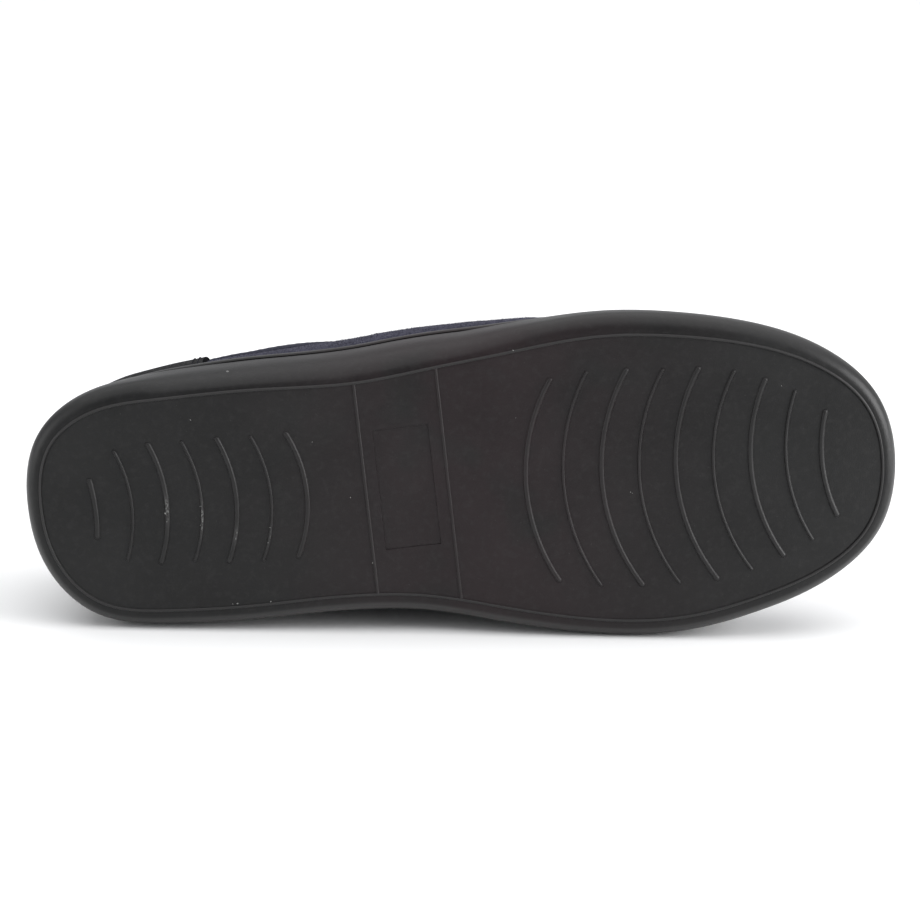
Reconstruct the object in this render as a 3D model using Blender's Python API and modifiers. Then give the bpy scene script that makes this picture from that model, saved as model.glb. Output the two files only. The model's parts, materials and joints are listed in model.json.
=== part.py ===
"""A moccasin slipper for the right foot, lying on its inner side.

The shoe is modelled standing: +X from heel to toe, +Y towards the inner (medial) side, +Z up,
with the ground at z = 0 and the back of the heel at x = 0. An empty then lays it down, so that
the inner edge of the sole and the inner side of the upper share the floor. Metres, +Z up.
"""

import math

import bmesh
import bpy
import numpy as np
from mathutils import Euler, Matrix, Vector
from mathutils.bvhtree import BVHTree

MM = 0.001

# Driving sizes of the shoe
SOLE_LENGTH = 297 * MM
BALL_WIDTH = 112 * MM
HEEL_BACK_HEIGHT = 66 * MM
ANKLE_HEIGHT = 56 * MM
THROAT_HEIGHT = 75 * MM
THROAT_LENGTH = 146 * MM
TOE_HEIGHT = 45 * MM
LAST_HEIGHT = 83 * MM
TOE_SPRING = 9 * MM
ARCH_RISE = 1.6 * MM
HEEL_BEVEL = 1.2 * MM
CLEARANCE = 0.3 * MM

# Sole
WALL_HEIGHT = 24 * MM
ROLL_WIDTH = 7 * MM
ROLL_RISE = 7 * MM
LIP_THICKNESS = 3 * MM
LIP_HEIGHT = 2.6 * MM
LIP_ROUND = 0.5 * MM
GROOVE_DEPTH = 0.8 * MM
GROOVE_WIDTH = 0.9 * MM
HEEL_FLOOR = 12 * MM
BALL_FLOOR = 8.5 * MM
BEAD_WIDTH = 0.8 * MM
BEAD_RELIEF = 0.15 * MM

# Tread
RIB_HEIGHT = 0.7 * MM
RIB_ROOT = 1.2 * MM
WIDE_RIB = 2.0 * MM
THIN_RIB = 1.2 * MM
RIB_CROWN = 0.7
RIB_END = 0.55
WAIST_LINE_WIDTH = 1.0 * MM
WAIST_SKEW = math.radians(4.2)
PLATE_LENGTH = 19 * MM
PLATE_WIDTH = 42 * MM
PLATE_DEPTH = 0.4 * MM
PLATE_OFFSET = 1.5 * MM

# Upper, its panels and what lines it
UPPER_WALL = 2.5 * MM
APRON_THICKNESS = 1.6 * MM
COUNTER_THICKNESS = 1.2 * MM
COUNTER_LENGTH = 61 * MM
APRON_BACK = 22 * MM
BINDING_THICKNESS = 1.3 * MM
BINDING_DEPTH = 6.5 * MM
BINDING_CLEARANCE = 0.8 * MM
BINDING_CROWN = 1.2 * MM
PANEL_MARGIN = 1.0 * MM
INSOLE_THICKNESS = 4 * MM
INSOLE_ROUND = 1.0 * MM

# Counts of stations, lines and levels
ROLL_STEPS = 5
ARC_STEPS = 10
WAIST_STEPS = 4
SIDE_LINES = 6
THROAT_LINES = 6
VAMP_LINES = 9
FAN_LINES = 15
COUNTER_LINES = 2
FOOT_LEVEL = 2
WALL_LEVELS = 5
TOP_LEVELS = 4
CROWN_STEPS = 4
CURVE_STEPS = 1440
SOLVE_STEPS = 40

# Smallest distance that counts as two points
TOUCH = 0.02 * MM

# Shares of the sole length: end of the heel's bevel, ends of the arch, start of the toe spring,
# ends of the slope in the cup's floor, and the waist
BEVEL_END = 0.07
ARCH_ENDS = (0.36, 0.56)
SPRING_START = 0.76
FLOOR_SLOPE = (0.30, 0.62)
WAIST = 0.42

# Shares of the bead's half width at which its slopes start, crown and end
BEAD_SHARES = {"start": 1.2, "crown": 0.7, "end": 1.3}
WALL_SHARES = (0.35, 0.7)
GROOVE_TAPER = 0.2

# Shares of the throat length: the low ankle, and the end of the level heel collar
COLLAR_LOW = 0.62
COLLAR_LEVEL = 0.124

# How far up the upper's height its swell ends, how soft it is, and how stations crowd at the throat
SWELL_END = 1 / 1.15
SWELL_SOFTNESS = 1.2
THROAT_CROWDING = 1.7

# Steepest toe rise and lean that are tried when the shoe is laid down
RISE_LIMIT = math.radians(12)
LEAN_LIMIT = math.radians(30)

# Where the border bead of the tread runs: shares of the sole length and of the ball width
HEEL_POLE = {"at": 0.018, "middle": 0.047}
TOE_POLE = {"at": 0.984, "middle": 0.022}
OUTLINE = [
    {"at": 0.033, "outer": 0.158, "inner": 0.207},
    {"at": 0.080, "outer": 0.251, "inner": 0.338},
    {"at": 0.155, "outer": 0.285, "inner": 0.371},
    {"at": 0.260, "outer": 0.304, "inner": 0.364},
    {"at": 0.385, "outer": 0.316, "inner": 0.343},
    {"at": 0.475, "outer": 0.353, "inner": 0.361},
    {"at": 0.570, "outer": 0.399, "inner": 0.409},
    {"at": 0.660, "outer": 0.433, "inner": 0.445},
    {"at": 0.750, "outer": 0.427, "inner": 0.444},
    {"at": 0.840, "outer": 0.388, "inner": 0.388},
    {"at": 0.920, "outer": 0.300, "inner": 0.302},
    {"at": 0.965, "outer": 0.188, "inner": 0.197},
]

# Side of the sole along its length: how far the roll stands outside the bead on the outer and
# the inner side, and where the top edge stands, as shares of the roll width, with the wall as a
# share of the wall height
SIDE = [
    {"at": 0.00, "outer": 0.76, "inner": 0.76, "top": 0.28, "wall": 0.90},
    {"at": 0.08, "outer": 0.84, "inner": 0.82, "top": 0.42, "wall": 0.95},
    {"at": 0.17, "outer": 0.92, "inner": 0.86, "top": 0.88, "wall": 0.99},
    {"at": 0.30, "outer": 1.00, "inner": 0.88, "top": 1.14, "wall": 1.00},
    {"at": 0.42, "outer": 1.04, "inner": 0.92, "top": 1.30, "wall": 1.02},
    {"at": 0.55, "outer": 1.04, "inner": 0.92, "top": 1.00, "wall": 0.94},
    {"at": 0.66, "outer": 1.02, "inner": 0.90, "top": 0.72, "wall": 0.85},
    {"at": 0.85, "outer": 0.88, "inner": 0.88, "top": 0.54, "wall": 0.80},
    {"at": 1.00, "outer": 0.70, "inner": 0.70, "top": 0.36, "wall": 0.80},
]

# How far each side of the upper swells past its foot, as shares of the upper's wall
SWELL = [
    {"at": 0.00, "outer": 0.5, "inner": 0.4},
    {"at": 0.20, "outer": 0.9, "inner": 0.8},
    {"at": 0.42, "outer": 2.1, "inner": 3.6},
    {"at": 0.55, "outer": 1.7, "inner": 2.2},
    {"at": 0.70, "outer": 0.8, "inner": 0.9},
    {"at": 1.00, "outer": 0.4, "inner": 0.4},
]

# Top line of the vamp between throat and toe: way from the throat, share of the fall
VAMP_FALL = {"way": (0.0, 0.25, 0.5, 0.75, 1.0), "share": (0.0, 0.34, 0.64, 0.87, 1.0)}

# Ribs of the tread: crown's share of the sole length, crown's and span's shares of the ball
# width, bow as a share of the span, and how many degrees the rib is turned
HEEL_RIBS = [
    {"at": 0.080, "middle": 0.046, "span": 0.176, "bow": 0.035, "skew": 4.9},
    {"at": 0.122, "middle": 0.037, "span": 0.338, "bow": 0.098, "skew": 4.2},
    {"at": 0.162, "middle": 0.034, "span": 0.366, "bow": 0.100, "skew": 3.6},
    {"at": 0.202, "middle": 0.030, "span": 0.368, "bow": 0.108, "skew": 3.8},
    {"at": 0.242, "middle": 0.031, "span": 0.381, "bow": 0.108, "skew": 3.2},
    {"at": 0.282, "middle": 0.028, "span": 0.384, "bow": 0.112, "skew": 3.4},
    {"at": 0.323, "middle": 0.021, "span": 0.381, "bow": 0.117, "skew": 3.5},
]
FORE_RIBS = [
    {"at": 0.574, "middle": 0.007, "span": 0.621, "bow": 0.139, "skew": 0.9},
    {"at": 0.617, "middle": 0.009, "span": 0.661, "bow": 0.138, "skew": 2.3},
    {"at": 0.661, "middle": 0.010, "span": 0.666, "bow": 0.147, "skew": 2.7},
    {"at": 0.704, "middle": 0.010, "span": 0.660, "bow": 0.144, "skew": 3.0},
    {"at": 0.746, "middle": 0.007, "span": 0.652, "bow": 0.146, "skew": 3.7},
    {"at": 0.789, "middle": 0.001, "span": 0.616, "bow": 0.143, "skew": 3.8},
    {"at": 0.832, "middle": -0.003, "span": 0.547, "bow": 0.127, "skew": 4.7},
    {"at": 0.873, "middle": -0.006, "span": 0.463, "bow": 0.111, "skew": 5.6},
    {"at": 0.914, "middle": -0.009, "span": 0.322, "bow": 0.083, "skew": 5.4},
]

# Shares of the sole length at which the raised lines cross the waist
WAIST_LINES = (0.390, 0.485)

HEEL_SPINE = 0.155
TOE_SPINE = 0.87
WALL_SQUARENESS = 2.25
CROWN_ROUNDNESS = 1.95
SEAM_SHARE = 0.56
SEAM_END_SHARE = 0.80


def eased(stops, values, at):
    """A smooth value at a place between stops, with no overshoot."""
    stops = np.asarray(stops, dtype=float)
    values = np.asarray(values, dtype=float)
    at = min(max(at, stops[0]), stops[-1])
    rise = np.diff(values) / np.diff(stops)
    slopes = np.zeros(len(stops))
    for i in range(1, len(stops) - 1):
        before, after = rise[i - 1], rise[i]
        if before * after > 0:
            slopes[i] = 2 * before * after / (before + after)
    i = min(int(np.searchsorted(stops, at, side="right")) - 1, len(stops) - 2)
    span = stops[i + 1] - stops[i]
    t = (at - stops[i]) / span
    start = values[i] * (1 + 2 * t) * (1 - t) ** 2 + span * slopes[i] * t * (1 - t) ** 2
    end = values[i + 1] * t * t * (3 - 2 * t) + span * slopes[i + 1] * t * t * (t - 1)
    return float(start + end)


def column(table, name, at):
    """The named column of a table, read at a share of the sole length."""
    return eased([row["at"] for row in table], [row[name] for row in table], at)


def closed_curve(knots, steps):
    """A closed cubic curve through the knots, as points in order."""
    knots = np.array(knots)
    ahead = np.roll(knots, -1, axis=0)
    spans = np.linalg.norm(ahead - knots, axis=1)
    count = len(knots)
    system = np.zeros((count, count))
    right = np.zeros((count, 2))
    for i in range(count):
        before = spans[i - 1]
        after = spans[i]
        system[i, i - 1] += before
        system[i, i] += 2 * (before + after)
        system[i, (i + 1) % count] += after
        right[i] = 6 * ((ahead[i] - knots[i]) / after - (knots[i] - knots[i - 1]) / before)
    bends = np.linalg.solve(system, right)
    ends = np.concatenate([[0.0], np.cumsum(spans)])
    points = []
    for place in np.linspace(0, ends[-1], steps, endpoint=False):
        i = min(int(np.searchsorted(ends, place, side="right")) - 1, count - 1)
        j = (i + 1) % count
        a = (ends[i + 1] - place) / spans[i]
        b = 1 - a
        curve = a * knots[i] + b * knots[j]
        curve += ((a**3 - a) * bends[i] + (b**3 - b) * bends[j]) * spans[i] ** 2 / 6
        points.append(curve)
    return np.array(points)


def bead_knots():
    """Corner points of the border bead, from the heel along the inner side and back."""
    inner = [(row["at"] * SOLE_LENGTH, row["inner"] * BALL_WIDTH) for row in OUTLINE]
    outer = [(row["at"] * SOLE_LENGTH, -row["outer"] * BALL_WIDTH) for row in OUTLINE]
    heel = (HEEL_POLE["at"] * SOLE_LENGTH, HEEL_POLE["middle"] * BALL_WIDTH)
    toe = (TOE_POLE["at"] * SOLE_LENGTH, TOE_POLE["middle"] * BALL_WIDTH)
    return [heel] + inner + [toe] + outer[::-1]


class Outline:
    """The bead's curve, read at a place along its inner or outer side."""

    def __init__(self):
        self.points = closed_curve(bead_knots(), CURVE_STEPS)
        along = np.roll(self.points, -1, axis=0) - np.roll(self.points, 1, axis=0)
        along /= np.linalg.norm(along, axis=1)[:, None]
        self.outward = np.stack([along[:, 1], -along[:, 0]], axis=1)
        middle = self.points.mean(axis=0)
        facing = ((self.points - middle) * self.outward).sum()
        if facing < 0:
            self.outward = -self.outward
        self.heel = int(np.argmin(self.points[:, 0]))
        self.toe = int(np.argmax(self.points[:, 0]))

    def side(self, inner):
        """Indices from heel to toe along one side."""
        count = len(self.points)
        if inner:
            steps = (self.toe - self.heel) % count
            return [(self.heel + i) % count for i in range(steps + 1)]
        steps = (self.heel - self.toe) % count
        return [(self.heel - i) % count for i in range(steps + 1)]

    def station(self, x, inner):
        """Point and outward direction where one side crosses a distance from the heel."""
        order = self.side(inner)
        xs = self.points[order, 0]
        place = float(np.interp(x, xs, np.arange(len(order))))
        low = min(int(place), len(order) - 2)
        share = place - low
        point = self.points[order[low]] * (1 - share) + self.points[order[low + 1]] * share
        out = self.outward[order[low]] * (1 - share) + self.outward[order[low + 1]] * share
        return Station(point, out / np.linalg.norm(out))

    def fan(self, x, at_toe, count):
        """Stations round one end between the two sides, both ends left out."""
        inner = self.side(True)
        outer = self.side(False)
        start = int(np.argmin(abs(self.points[inner, 0] - x)))
        stop = int(np.argmin(abs(self.points[outer, 0] - x)))
        if at_toe:
            path = inner[start:] + outer[stop:-1][::-1]
        else:
            path = outer[: stop + 1][::-1] + inner[1 : start + 1]
        lengths = np.linalg.norm(np.diff(self.points[path], axis=0), axis=1)
        run = np.concatenate([[0.0], np.cumsum(lengths)])
        stations = []
        for i in range(1, count + 1):
            place = int(np.argmin(abs(run - run[-1] * i / (count + 1))))
            stations.append(Station(self.points[path[place]], self.outward[path[place]]))
        return stations


class Station:
    """One place on the bead, with the sizes that the sole has there."""

    def __init__(self, point, outward):
        self.point = np.array(point)
        self.outward = np.array(outward)
        self.at = float(point[0]) / SOLE_LENGTH
        self.ground = tread(float(point[0]))
        self.roll = self.blend(SIDE) * ROLL_WIDTH
        self.top = column(SIDE, "top", self.at) * ROLL_WIDTH
        self.wall = self.ground + column(SIDE, "wall", self.at) * WALL_HEIGHT
        self.cup = self.top - LIP_THICKNESS
        self.floor = cup_floor(float(point[0]))

    def blend(self, table):
        """A table's outer or inner column, eased from one to the other round the ends."""
        share = min(max(0.5 + self.outward[1], 0.0), 1.0)
        return column(table, "inner", self.at) * share + column(table, "outer", self.at) * (1 - share)

    def beyond(self, offset, height):
        """A point this far outside the bead, at a height."""
        x, y = self.point + self.outward * offset
        return (x, y, height)


def tread(x):
    """Height of the rib crowns over the ground: flat under heel and ball, sprung at the toe."""
    at = x / SOLE_LENGTH
    heel = HEEL_BEVEL * max(0.0, 1 - at / BEVEL_END) ** 2
    way = (at - ARCH_ENDS[0]) / (ARCH_ENDS[1] - ARCH_ENDS[0])
    arch = ARCH_RISE * math.sin(math.pi * min(max(way, 0.0), 1.0)) ** 2
    toe = TOE_SPRING * max(0.0, (at - SPRING_START) / (1 - SPRING_START)) ** 2
    return heel + arch + toe


def cup_floor(x):
    """Height of the floor inside the sole's cup."""
    depths = (HEEL_FLOOR, HEEL_FLOOR, BALL_FLOOR, BALL_FLOOR)
    return tread(x) + eased((0.0, *FLOOR_SLOPE, 1.0), depths, x / SOLE_LENGTH)


def collection(name):
    made = bpy.data.collections.new(name)
    bpy.context.scene.collection.children.link(made)
    return made


def material(name, colour, roughness, metallic=0.0):
    made = bpy.data.materials.new(name)
    made.use_nodes = True
    shader = made.node_tree.nodes["Principled BSDF"]
    shader.inputs["Base Color"].default_value = (*colour, 1.0)
    shader.inputs["Roughness"].default_value = roughness
    shader.inputs["Metallic"].default_value = metallic
    made.diffuse_color = (*colour, 1.0)
    return made


def add_object(name, bm, group, finish=None):
    """A named object from a mesh, facing out, in its group."""
    bmesh.ops.recalc_face_normals(bm, faces=bm.faces)
    mesh = bpy.data.meshes.new(name)
    bm.to_mesh(mesh)
    bm.free()
    made = bpy.data.objects.new(name, mesh)
    group.objects.link(made)
    if finish:
        mesh.materials.append(finish)
    return made


def skin(bm, rings, closed=True):
    """Faces between rings of vertices that have the same count."""
    for low, high in zip(rings, rings[1:]):
        count = len(low)
        for i in range(count if closed else count - 1):
            j = (i + 1) % count
            corners = [low[i], low[j], high[j], high[i]]
            bm.faces.new(list(dict.fromkeys(corners)))


def strips(bm, ring):
    """Closes a ring that starts at the heel pole, with strips from side to side."""
    half = len(ring) // 2
    bm.faces.new([ring[0], ring[1], ring[-1]])
    for i in range(1, half - 1):
        bm.faces.new([ring[i], ring[i + 1], ring[-i - 1], ring[-i]])
    bm.faces.new([ring[half - 1], ring[half], ring[half + 1]])


def places_along():
    """Distances from the heel at which both sides of the shoe get a station."""
    heel = HEEL_SPINE * SOLE_LENGTH
    toe = TOE_SPINE * SOLE_LENGTH
    apron_end = THROAT_LENGTH - APRON_BACK
    places = [heel + (COUNTER_LENGTH - heel) * i / COUNTER_LINES for i in range(COUNTER_LINES)]
    for i in range(SIDE_LINES):
        places.append(COUNTER_LENGTH + (apron_end - COUNTER_LENGTH) * i / SIDE_LINES)
    for i in range(THROAT_LINES):
        places.append(apron_end + APRON_BACK * (1 - (1 - i / THROAT_LINES) ** THROAT_CROWDING))
    for i in range(VAMP_LINES + 1):
        places.append(THROAT_LENGTH + (toe - THROAT_LENGTH) * i / VAMP_LINES)
    return places


def stations_round(outline):
    """Stations round the shoe: heel, inner side, toe, outer side and back to the heel."""
    places = places_along()
    inner = [outline.station(x, True) for x in places]
    outer = [outline.station(x, False) for x in places]
    toe = outline.fan(places[-1], True, FAN_LINES)
    heel = outline.fan(places[0], False, FAN_LINES)
    middle = FAN_LINES // 2
    return heel[middle:] + inner + toe + outer[::-1] + heel[:middle]


def side_profile(station):
    """The sole's edge at a station, from the tread panel out, up and down into the cup."""
    panel = station.ground + RIB_HEIGHT
    crown = station.ground + BEAD_RELIEF
    half = BEAD_WIDTH / 2
    flat = half * BEAD_SHARES["crown"]
    foot = half * BEAD_SHARES["end"]
    profile = [(-half * BEAD_SHARES["start"], panel), (-flat, crown), (flat, crown), (foot, panel)]
    for i in range(1, ROLL_STEPS + 1):
        turn = math.pi / 2 * i / ROLL_STEPS
        out = foot + (station.roll - foot) * math.sin(turn)
        rise = panel + (ROLL_RISE - RIB_HEIGHT) * (1 - math.cos(turn))
        profile.append((out, rise))
    start = station.ground + ROLL_RISE
    for share in WALL_SHARES:
        rise = start + (station.wall - LIP_HEIGHT - start) * share
        profile.append((lean(station, rise, start), rise))
    low = station.wall - LIP_HEIGHT
    high = low + GROOVE_WIDTH
    out = lean(station, low, start)
    deep = out - GROOVE_DEPTH
    taper = GROOVE_WIDTH * GROOVE_TAPER
    profile += [(out, low), (deep, low + taper), (deep, high - taper), (out, high)]
    profile += [(station.top, station.wall - LIP_ROUND), (station.top - LIP_ROUND, station.wall)]
    profile += [(station.cup, station.wall), (station.cup, station.floor)]
    return profile


def lean(station, rise, start):
    """How far outside the bead the side wall stands at a height."""
    share = (rise - start) / (station.wall - start)
    return station.roll + (station.top - station.roll) * share * share


def lofted(stations, profile_of):
    """A closed body whose edge follows a profile at each station, with flat strips across."""
    bm = bmesh.new()
    profiles = []
    for station in stations:
        profiles.append([bm.verts.new(station.beyond(*step)) for step in profile_of(station)])
    rings = [list(ring) for ring in zip(*profiles)]
    skin(bm, rings)
    strips(bm, rings[0])
    strips(bm, rings[-1])
    return bm


def bar(bm, line, width, height, root):
    """A raised bar with sloping sides along a line of tread points, rounded at its ends."""
    sections = []
    for i, (x, y) in enumerate(line):
        before = line[max(i - 1, 0)]
        after = line[min(i + 1, len(line) - 1)]
        along = np.array(after) - np.array(before)
        along /= np.linalg.norm(along)
        across = np.array([-along[1], along[0]])
        reach = width / 2 * (RIB_END if i in (0, len(line) - 1) else 1.0)
        top = reach * RIB_CROWN
        surface = tread(x) + RIB_HEIGHT
        section = []
        for out, depth in ((-reach, -root), (reach, -root), (top, height), (-top, height)):
            px, py = np.array((x, y)) + across * out
            section.append(bm.verts.new((px, py, surface - depth)))
        sections.append(section)
    skin(bm, sections)
    bm.faces.new(sections[0])
    bm.faces.new(sections[-1][::-1])


def arc(row, towards):
    """Points of a rib's arc across the sole, its crown towards the toe (1) or the heel (-1)."""
    span = row["span"] * BALL_WIDTH
    bow = row["bow"] * span
    radius = bow / 2 + span * span / 8 / bow
    skew = math.radians(row["skew"])
    half = math.asin(span / 2 / radius)
    points = []
    for i in range(ARC_STEPS + 1):
        turn = half * (2 * i / ARC_STEPS - 1)
        across = radius * math.sin(turn)
        back = towards * radius * (math.cos(turn) - 1)
        x = row["at"] * SOLE_LENGTH + back * math.cos(skew) + across * math.sin(skew)
        y = row["middle"] * BALL_WIDTH - back * math.sin(skew) + across * math.cos(skew)
        points.append((x, y))
    return points


def waist_line(outline, x):
    """A straight line across the waist, from bead to bead."""
    ends = []
    for inner in (False, True):
        reach = outline.station(x, inner).point[1]
        ends.append(outline.station(x + reach * math.tan(WAIST_SKEW), inner).point)
    return [tuple(ends[0] + (ends[1] - ends[0]) * i / WAIST_STEPS) for i in range(WAIST_STEPS + 1)]


def build_ribs(outline):
    """Every raised rib and line of the tread."""
    bm = bmesh.new()
    for rows, towards in ((HEEL_RIBS, 1), (FORE_RIBS, -1)):
        for i, row in enumerate(rows):
            bar(bm, arc(row, towards), THIN_RIB if i % 2 else WIDE_RIB, RIB_HEIGHT, RIB_ROOT)
    for at in WAIST_LINES:
        line = waist_line(outline, at * SOLE_LENGTH)
        bar(bm, line, WAIST_LINE_WIDTH, RIB_HEIGHT - BEAD_RELIEF * 2, RIB_ROOT)
    return bm


def build_plate_cut():
    """The shallow recess between the waist lines."""
    middle = sum(WAIST_LINES) / len(WAIST_LINES) * SOLE_LENGTH
    surface = tread(middle) + RIB_HEIGHT
    bm = bmesh.new()
    bmesh.ops.create_cube(bm, size=1.0)
    bmesh.ops.scale(bm, vec=(PLATE_LENGTH, PLATE_WIDTH, PLATE_DEPTH * 4), verts=bm.verts)
    bmesh.ops.rotate(bm, matrix=Matrix.Rotation(-WAIST_SKEW, 3, "Z"), verts=bm.verts)
    bmesh.ops.translate(bm, vec=(middle, PLATE_OFFSET, surface - PLATE_DEPTH), verts=bm.verts)
    return bm


def combine(target, tool, operation):
    cut = target.modifiers.new(tool.name, "BOOLEAN")
    cut.operation = operation
    cut.solver = "EXACT"
    cut.object = tool
    tool.hide_render = True
    tool.display_type = "WIRE"


class UpperLine:
    """One line up the upper's outer face, from the cup floor to the collar or the ridge."""

    def __init__(self, station):
        self.station = station
        self.foot = station.point + station.outward * (station.cup - CLEARANCE)
        spine_x = min(max(float(station.point[0]), HEEL_SPINE * SOLE_LENGTH), TOE_SPINE * SOLE_LENGTH)
        self.spine = np.array([spine_x, spine_y(spine_x)])
        self.open = spine_x < THROAT_LENGTH
        self.ridge = ridge_height(spine_x)
        self.swell = station.blend(SWELL) * UPPER_WALL
        x = float(station.point[0])
        self.collar = min(collar_height(x), self.ridge)

    def point(self, turn):
        """Outer face at a turn from 0 at the lip to 1 at the ridge; below 0 it is in the cup."""
        base = self.station.wall
        if turn <= 0:
            low = self.station.floor + CLEARANCE
            height = base + (base - low) * turn
            return Vector((*self.foot, height))
        angle = min(turn, 1.0) * math.pi / 2
        inward = 1 - max(math.cos(angle), 0.0) ** (2 / WALL_SQUARENESS)
        up = math.sin(angle) ** (2 / CROWN_ROUNDNESS)
        height = base + (self.ridge - base) * up
        x, y = self.foot + (self.spine - self.foot) * inward
        out = self.swell * math.sin(math.pi * min(up / SWELL_END, 1.0)) ** SWELL_SOFTNESS
        x += self.station.outward[0] * out
        y += self.station.outward[1] * out
        return Vector((x, y, height))

    def turn_at(self, height):
        """The turn at which the line reaches a height."""
        up = min(max((height - self.station.wall) / (self.ridge - self.station.wall), 0.0), 1.0)
        return math.asin(up ** (CROWN_ROUNDNESS / 2)) / (math.pi / 2)

    def turns(self):
        """Turns of the line's levels, from the cup floor up."""
        clear = self.turn_at(self.station.wall + PANEL_MARGIN)
        top = self.turn_at(self.collar) if self.open else 1.0
        seam = clear + (top - clear) * seam_share(self.spine[0])
        levels = [-1.0, -0.35, clear]
        levels += [clear + (seam - clear) * i / WALL_LEVELS for i in range(1, WALL_LEVELS + 1)]
        levels += [seam + (top - seam) * i / TOP_LEVELS for i in range(1, TOP_LEVELS + 1)]
        return levels


def seam_share(x):
    """Where the apron seam crosses a line: it climbs to the collar behind the throat."""
    back = THROAT_LENGTH - APRON_BACK
    stops = (0.0, back - APRON_BACK, back, THROAT_LENGTH + APRON_BACK, SOLE_LENGTH)
    shares = (SEAM_SHARE, SEAM_SHARE, SEAM_END_SHARE, SEAM_SHARE, SEAM_SHARE)
    return eased(stops, shares, x)


def spine_y(x):
    """Middle of the foot: halfway between the bead's two sides, smoothed along the shoe."""
    at = x / SOLE_LENGTH
    half = [(row["inner"] - row["outer"]) / 2 for row in OUTLINE]
    return eased([row["at"] for row in OUTLINE], half, at) * BALL_WIDTH


def ridge_height(x):
    """Top line of the last, which the collar cuts behind the throat."""
    toe = TOE_SPINE * SOLE_LENGTH
    heel = HEEL_SPINE * SOLE_LENGTH
    if x >= THROAT_LENGTH:
        fall = eased(VAMP_FALL["way"], VAMP_FALL["share"], (x - THROAT_LENGTH) / (toe - THROAT_LENGTH))
        return THROAT_HEIGHT + (TOE_HEIGHT - THROAT_HEIGHT) * fall
    way = (THROAT_LENGTH - x) / (THROAT_LENGTH - heel)
    return THROAT_HEIGHT + (LAST_HEIGHT - THROAT_HEIGHT) * (1 - (1 - way) ** 2)


def collar_height(x):
    """Height of the collar edge: high at the back of the heel and the throat, low at the ankle."""
    stops = (0.0, COLLAR_LEVEL * THROAT_LENGTH, COLLAR_LOW * THROAT_LENGTH, THROAT_LENGTH)
    return eased(stops, (HEEL_BACK_HEIGHT, HEEL_BACK_HEIGHT, ANKLE_HEIGHT, THROAT_HEIGHT), x)


def sheet_of(lines, offset=0.0):
    """The upper's outer face, pushed out by an offset; each vertex keeps its place on the grid."""
    bm = bmesh.new()
    layer = bm.verts.layers.float_vector.new("place")
    grid = []
    for line in lines:
        verts = []
        for level, turn in enumerate(line.turns()):
            vert = bm.verts.new(line.point(turn))
            vert[layer] = (line.station.point[0], level, turn)
            verts.append(vert)
        grid.append(verts)
    skin(bm, [list(ring) for ring in zip(*grid)])
    bmesh.ops.remove_doubles(bm, verts=bm.verts, dist=TOUCH)
    face_out(bm)
    moves = [(vert, vert.co + vert.normal * offset) for vert in bm.verts]
    for vert, place in moves:
        vert.co = place
    return bm


def face_out(bm):
    """Turns every face of an open sheet away from the inside of the shoe."""
    bmesh.ops.recalc_face_normals(bm, faces=bm.faces)
    inside = Vector((SOLE_LENGTH / 2, 0, WALL_HEIGHT))
    facing = sum((face.calc_center_median() - inside).dot(face.normal) for face in bm.faces)
    if facing < 0:
        bmesh.ops.reverse_faces(bm, faces=bm.faces)
    bm.normal_update()


def build_upper(lines, group, finish):
    """The hollow wall from the cup floor to the collar."""
    return thick_sheet("upper", sheet_of(lines), UPPER_WALL, group, finish)


def thick_sheet(name, bm, thickness, group, finish):
    """An object whose wall grows inward from a sheet that faces out."""
    mesh = bpy.data.meshes.new(name)
    bm.to_mesh(mesh)
    bm.free()
    mesh.materials.append(finish)
    made = bpy.data.objects.new(name, mesh)
    group.objects.link(made)
    wall = made.modifiers.new("wall", "SOLIDIFY")
    wall.thickness = thickness
    wall.offset = -1
    wall.use_even_offset = True
    wall.thickness_clamp = 0
    return made


def trimmed(bm, keep):
    """Removes the faces that a test on their middle doesn't keep."""
    gone = [face for face in bm.faces if not keep(face)]
    bmesh.ops.delete(bm, geom=gone, context="FACES")


def build_panels(lines, group, counter_finish, apron_finish):
    """The heel counter and the apron, laid over the upper's own face."""
    seam_level = FOOT_LEVEL + WALL_LEVELS
    bm = sheet_of(lines, CLEARANCE + COUNTER_THICKNESS)
    layer = bm.verts.layers.float_vector["place"]

    def in_counter(face):
        places = [vert[layer] for vert in face.verts]
        behind = max(place[0] for place in places) <= COUNTER_LENGTH + CLEARANCE
        return behind and min(place[1] for place in places) >= FOOT_LEVEL

    trimmed(bm, in_counter)
    counter = thick_sheet("heel_counter", bm, COUNTER_THICKNESS, group, counter_finish)
    bm = sheet_of(lines, CLEARANCE + APRON_THICKNESS)
    layer = bm.verts.layers.float_vector["place"]

    def in_apron(face):
        places = [vert[layer] for vert in face.verts]
        ahead = min(place[0] for place in places) >= THROAT_LENGTH - APRON_BACK - CLEARANCE
        return ahead and min(place[1] for place in places) >= seam_level

    trimmed(bm, in_apron)
    apron = thick_sheet("apron", bm, APRON_THICKNESS, group, apron_finish)
    return counter, apron


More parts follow.
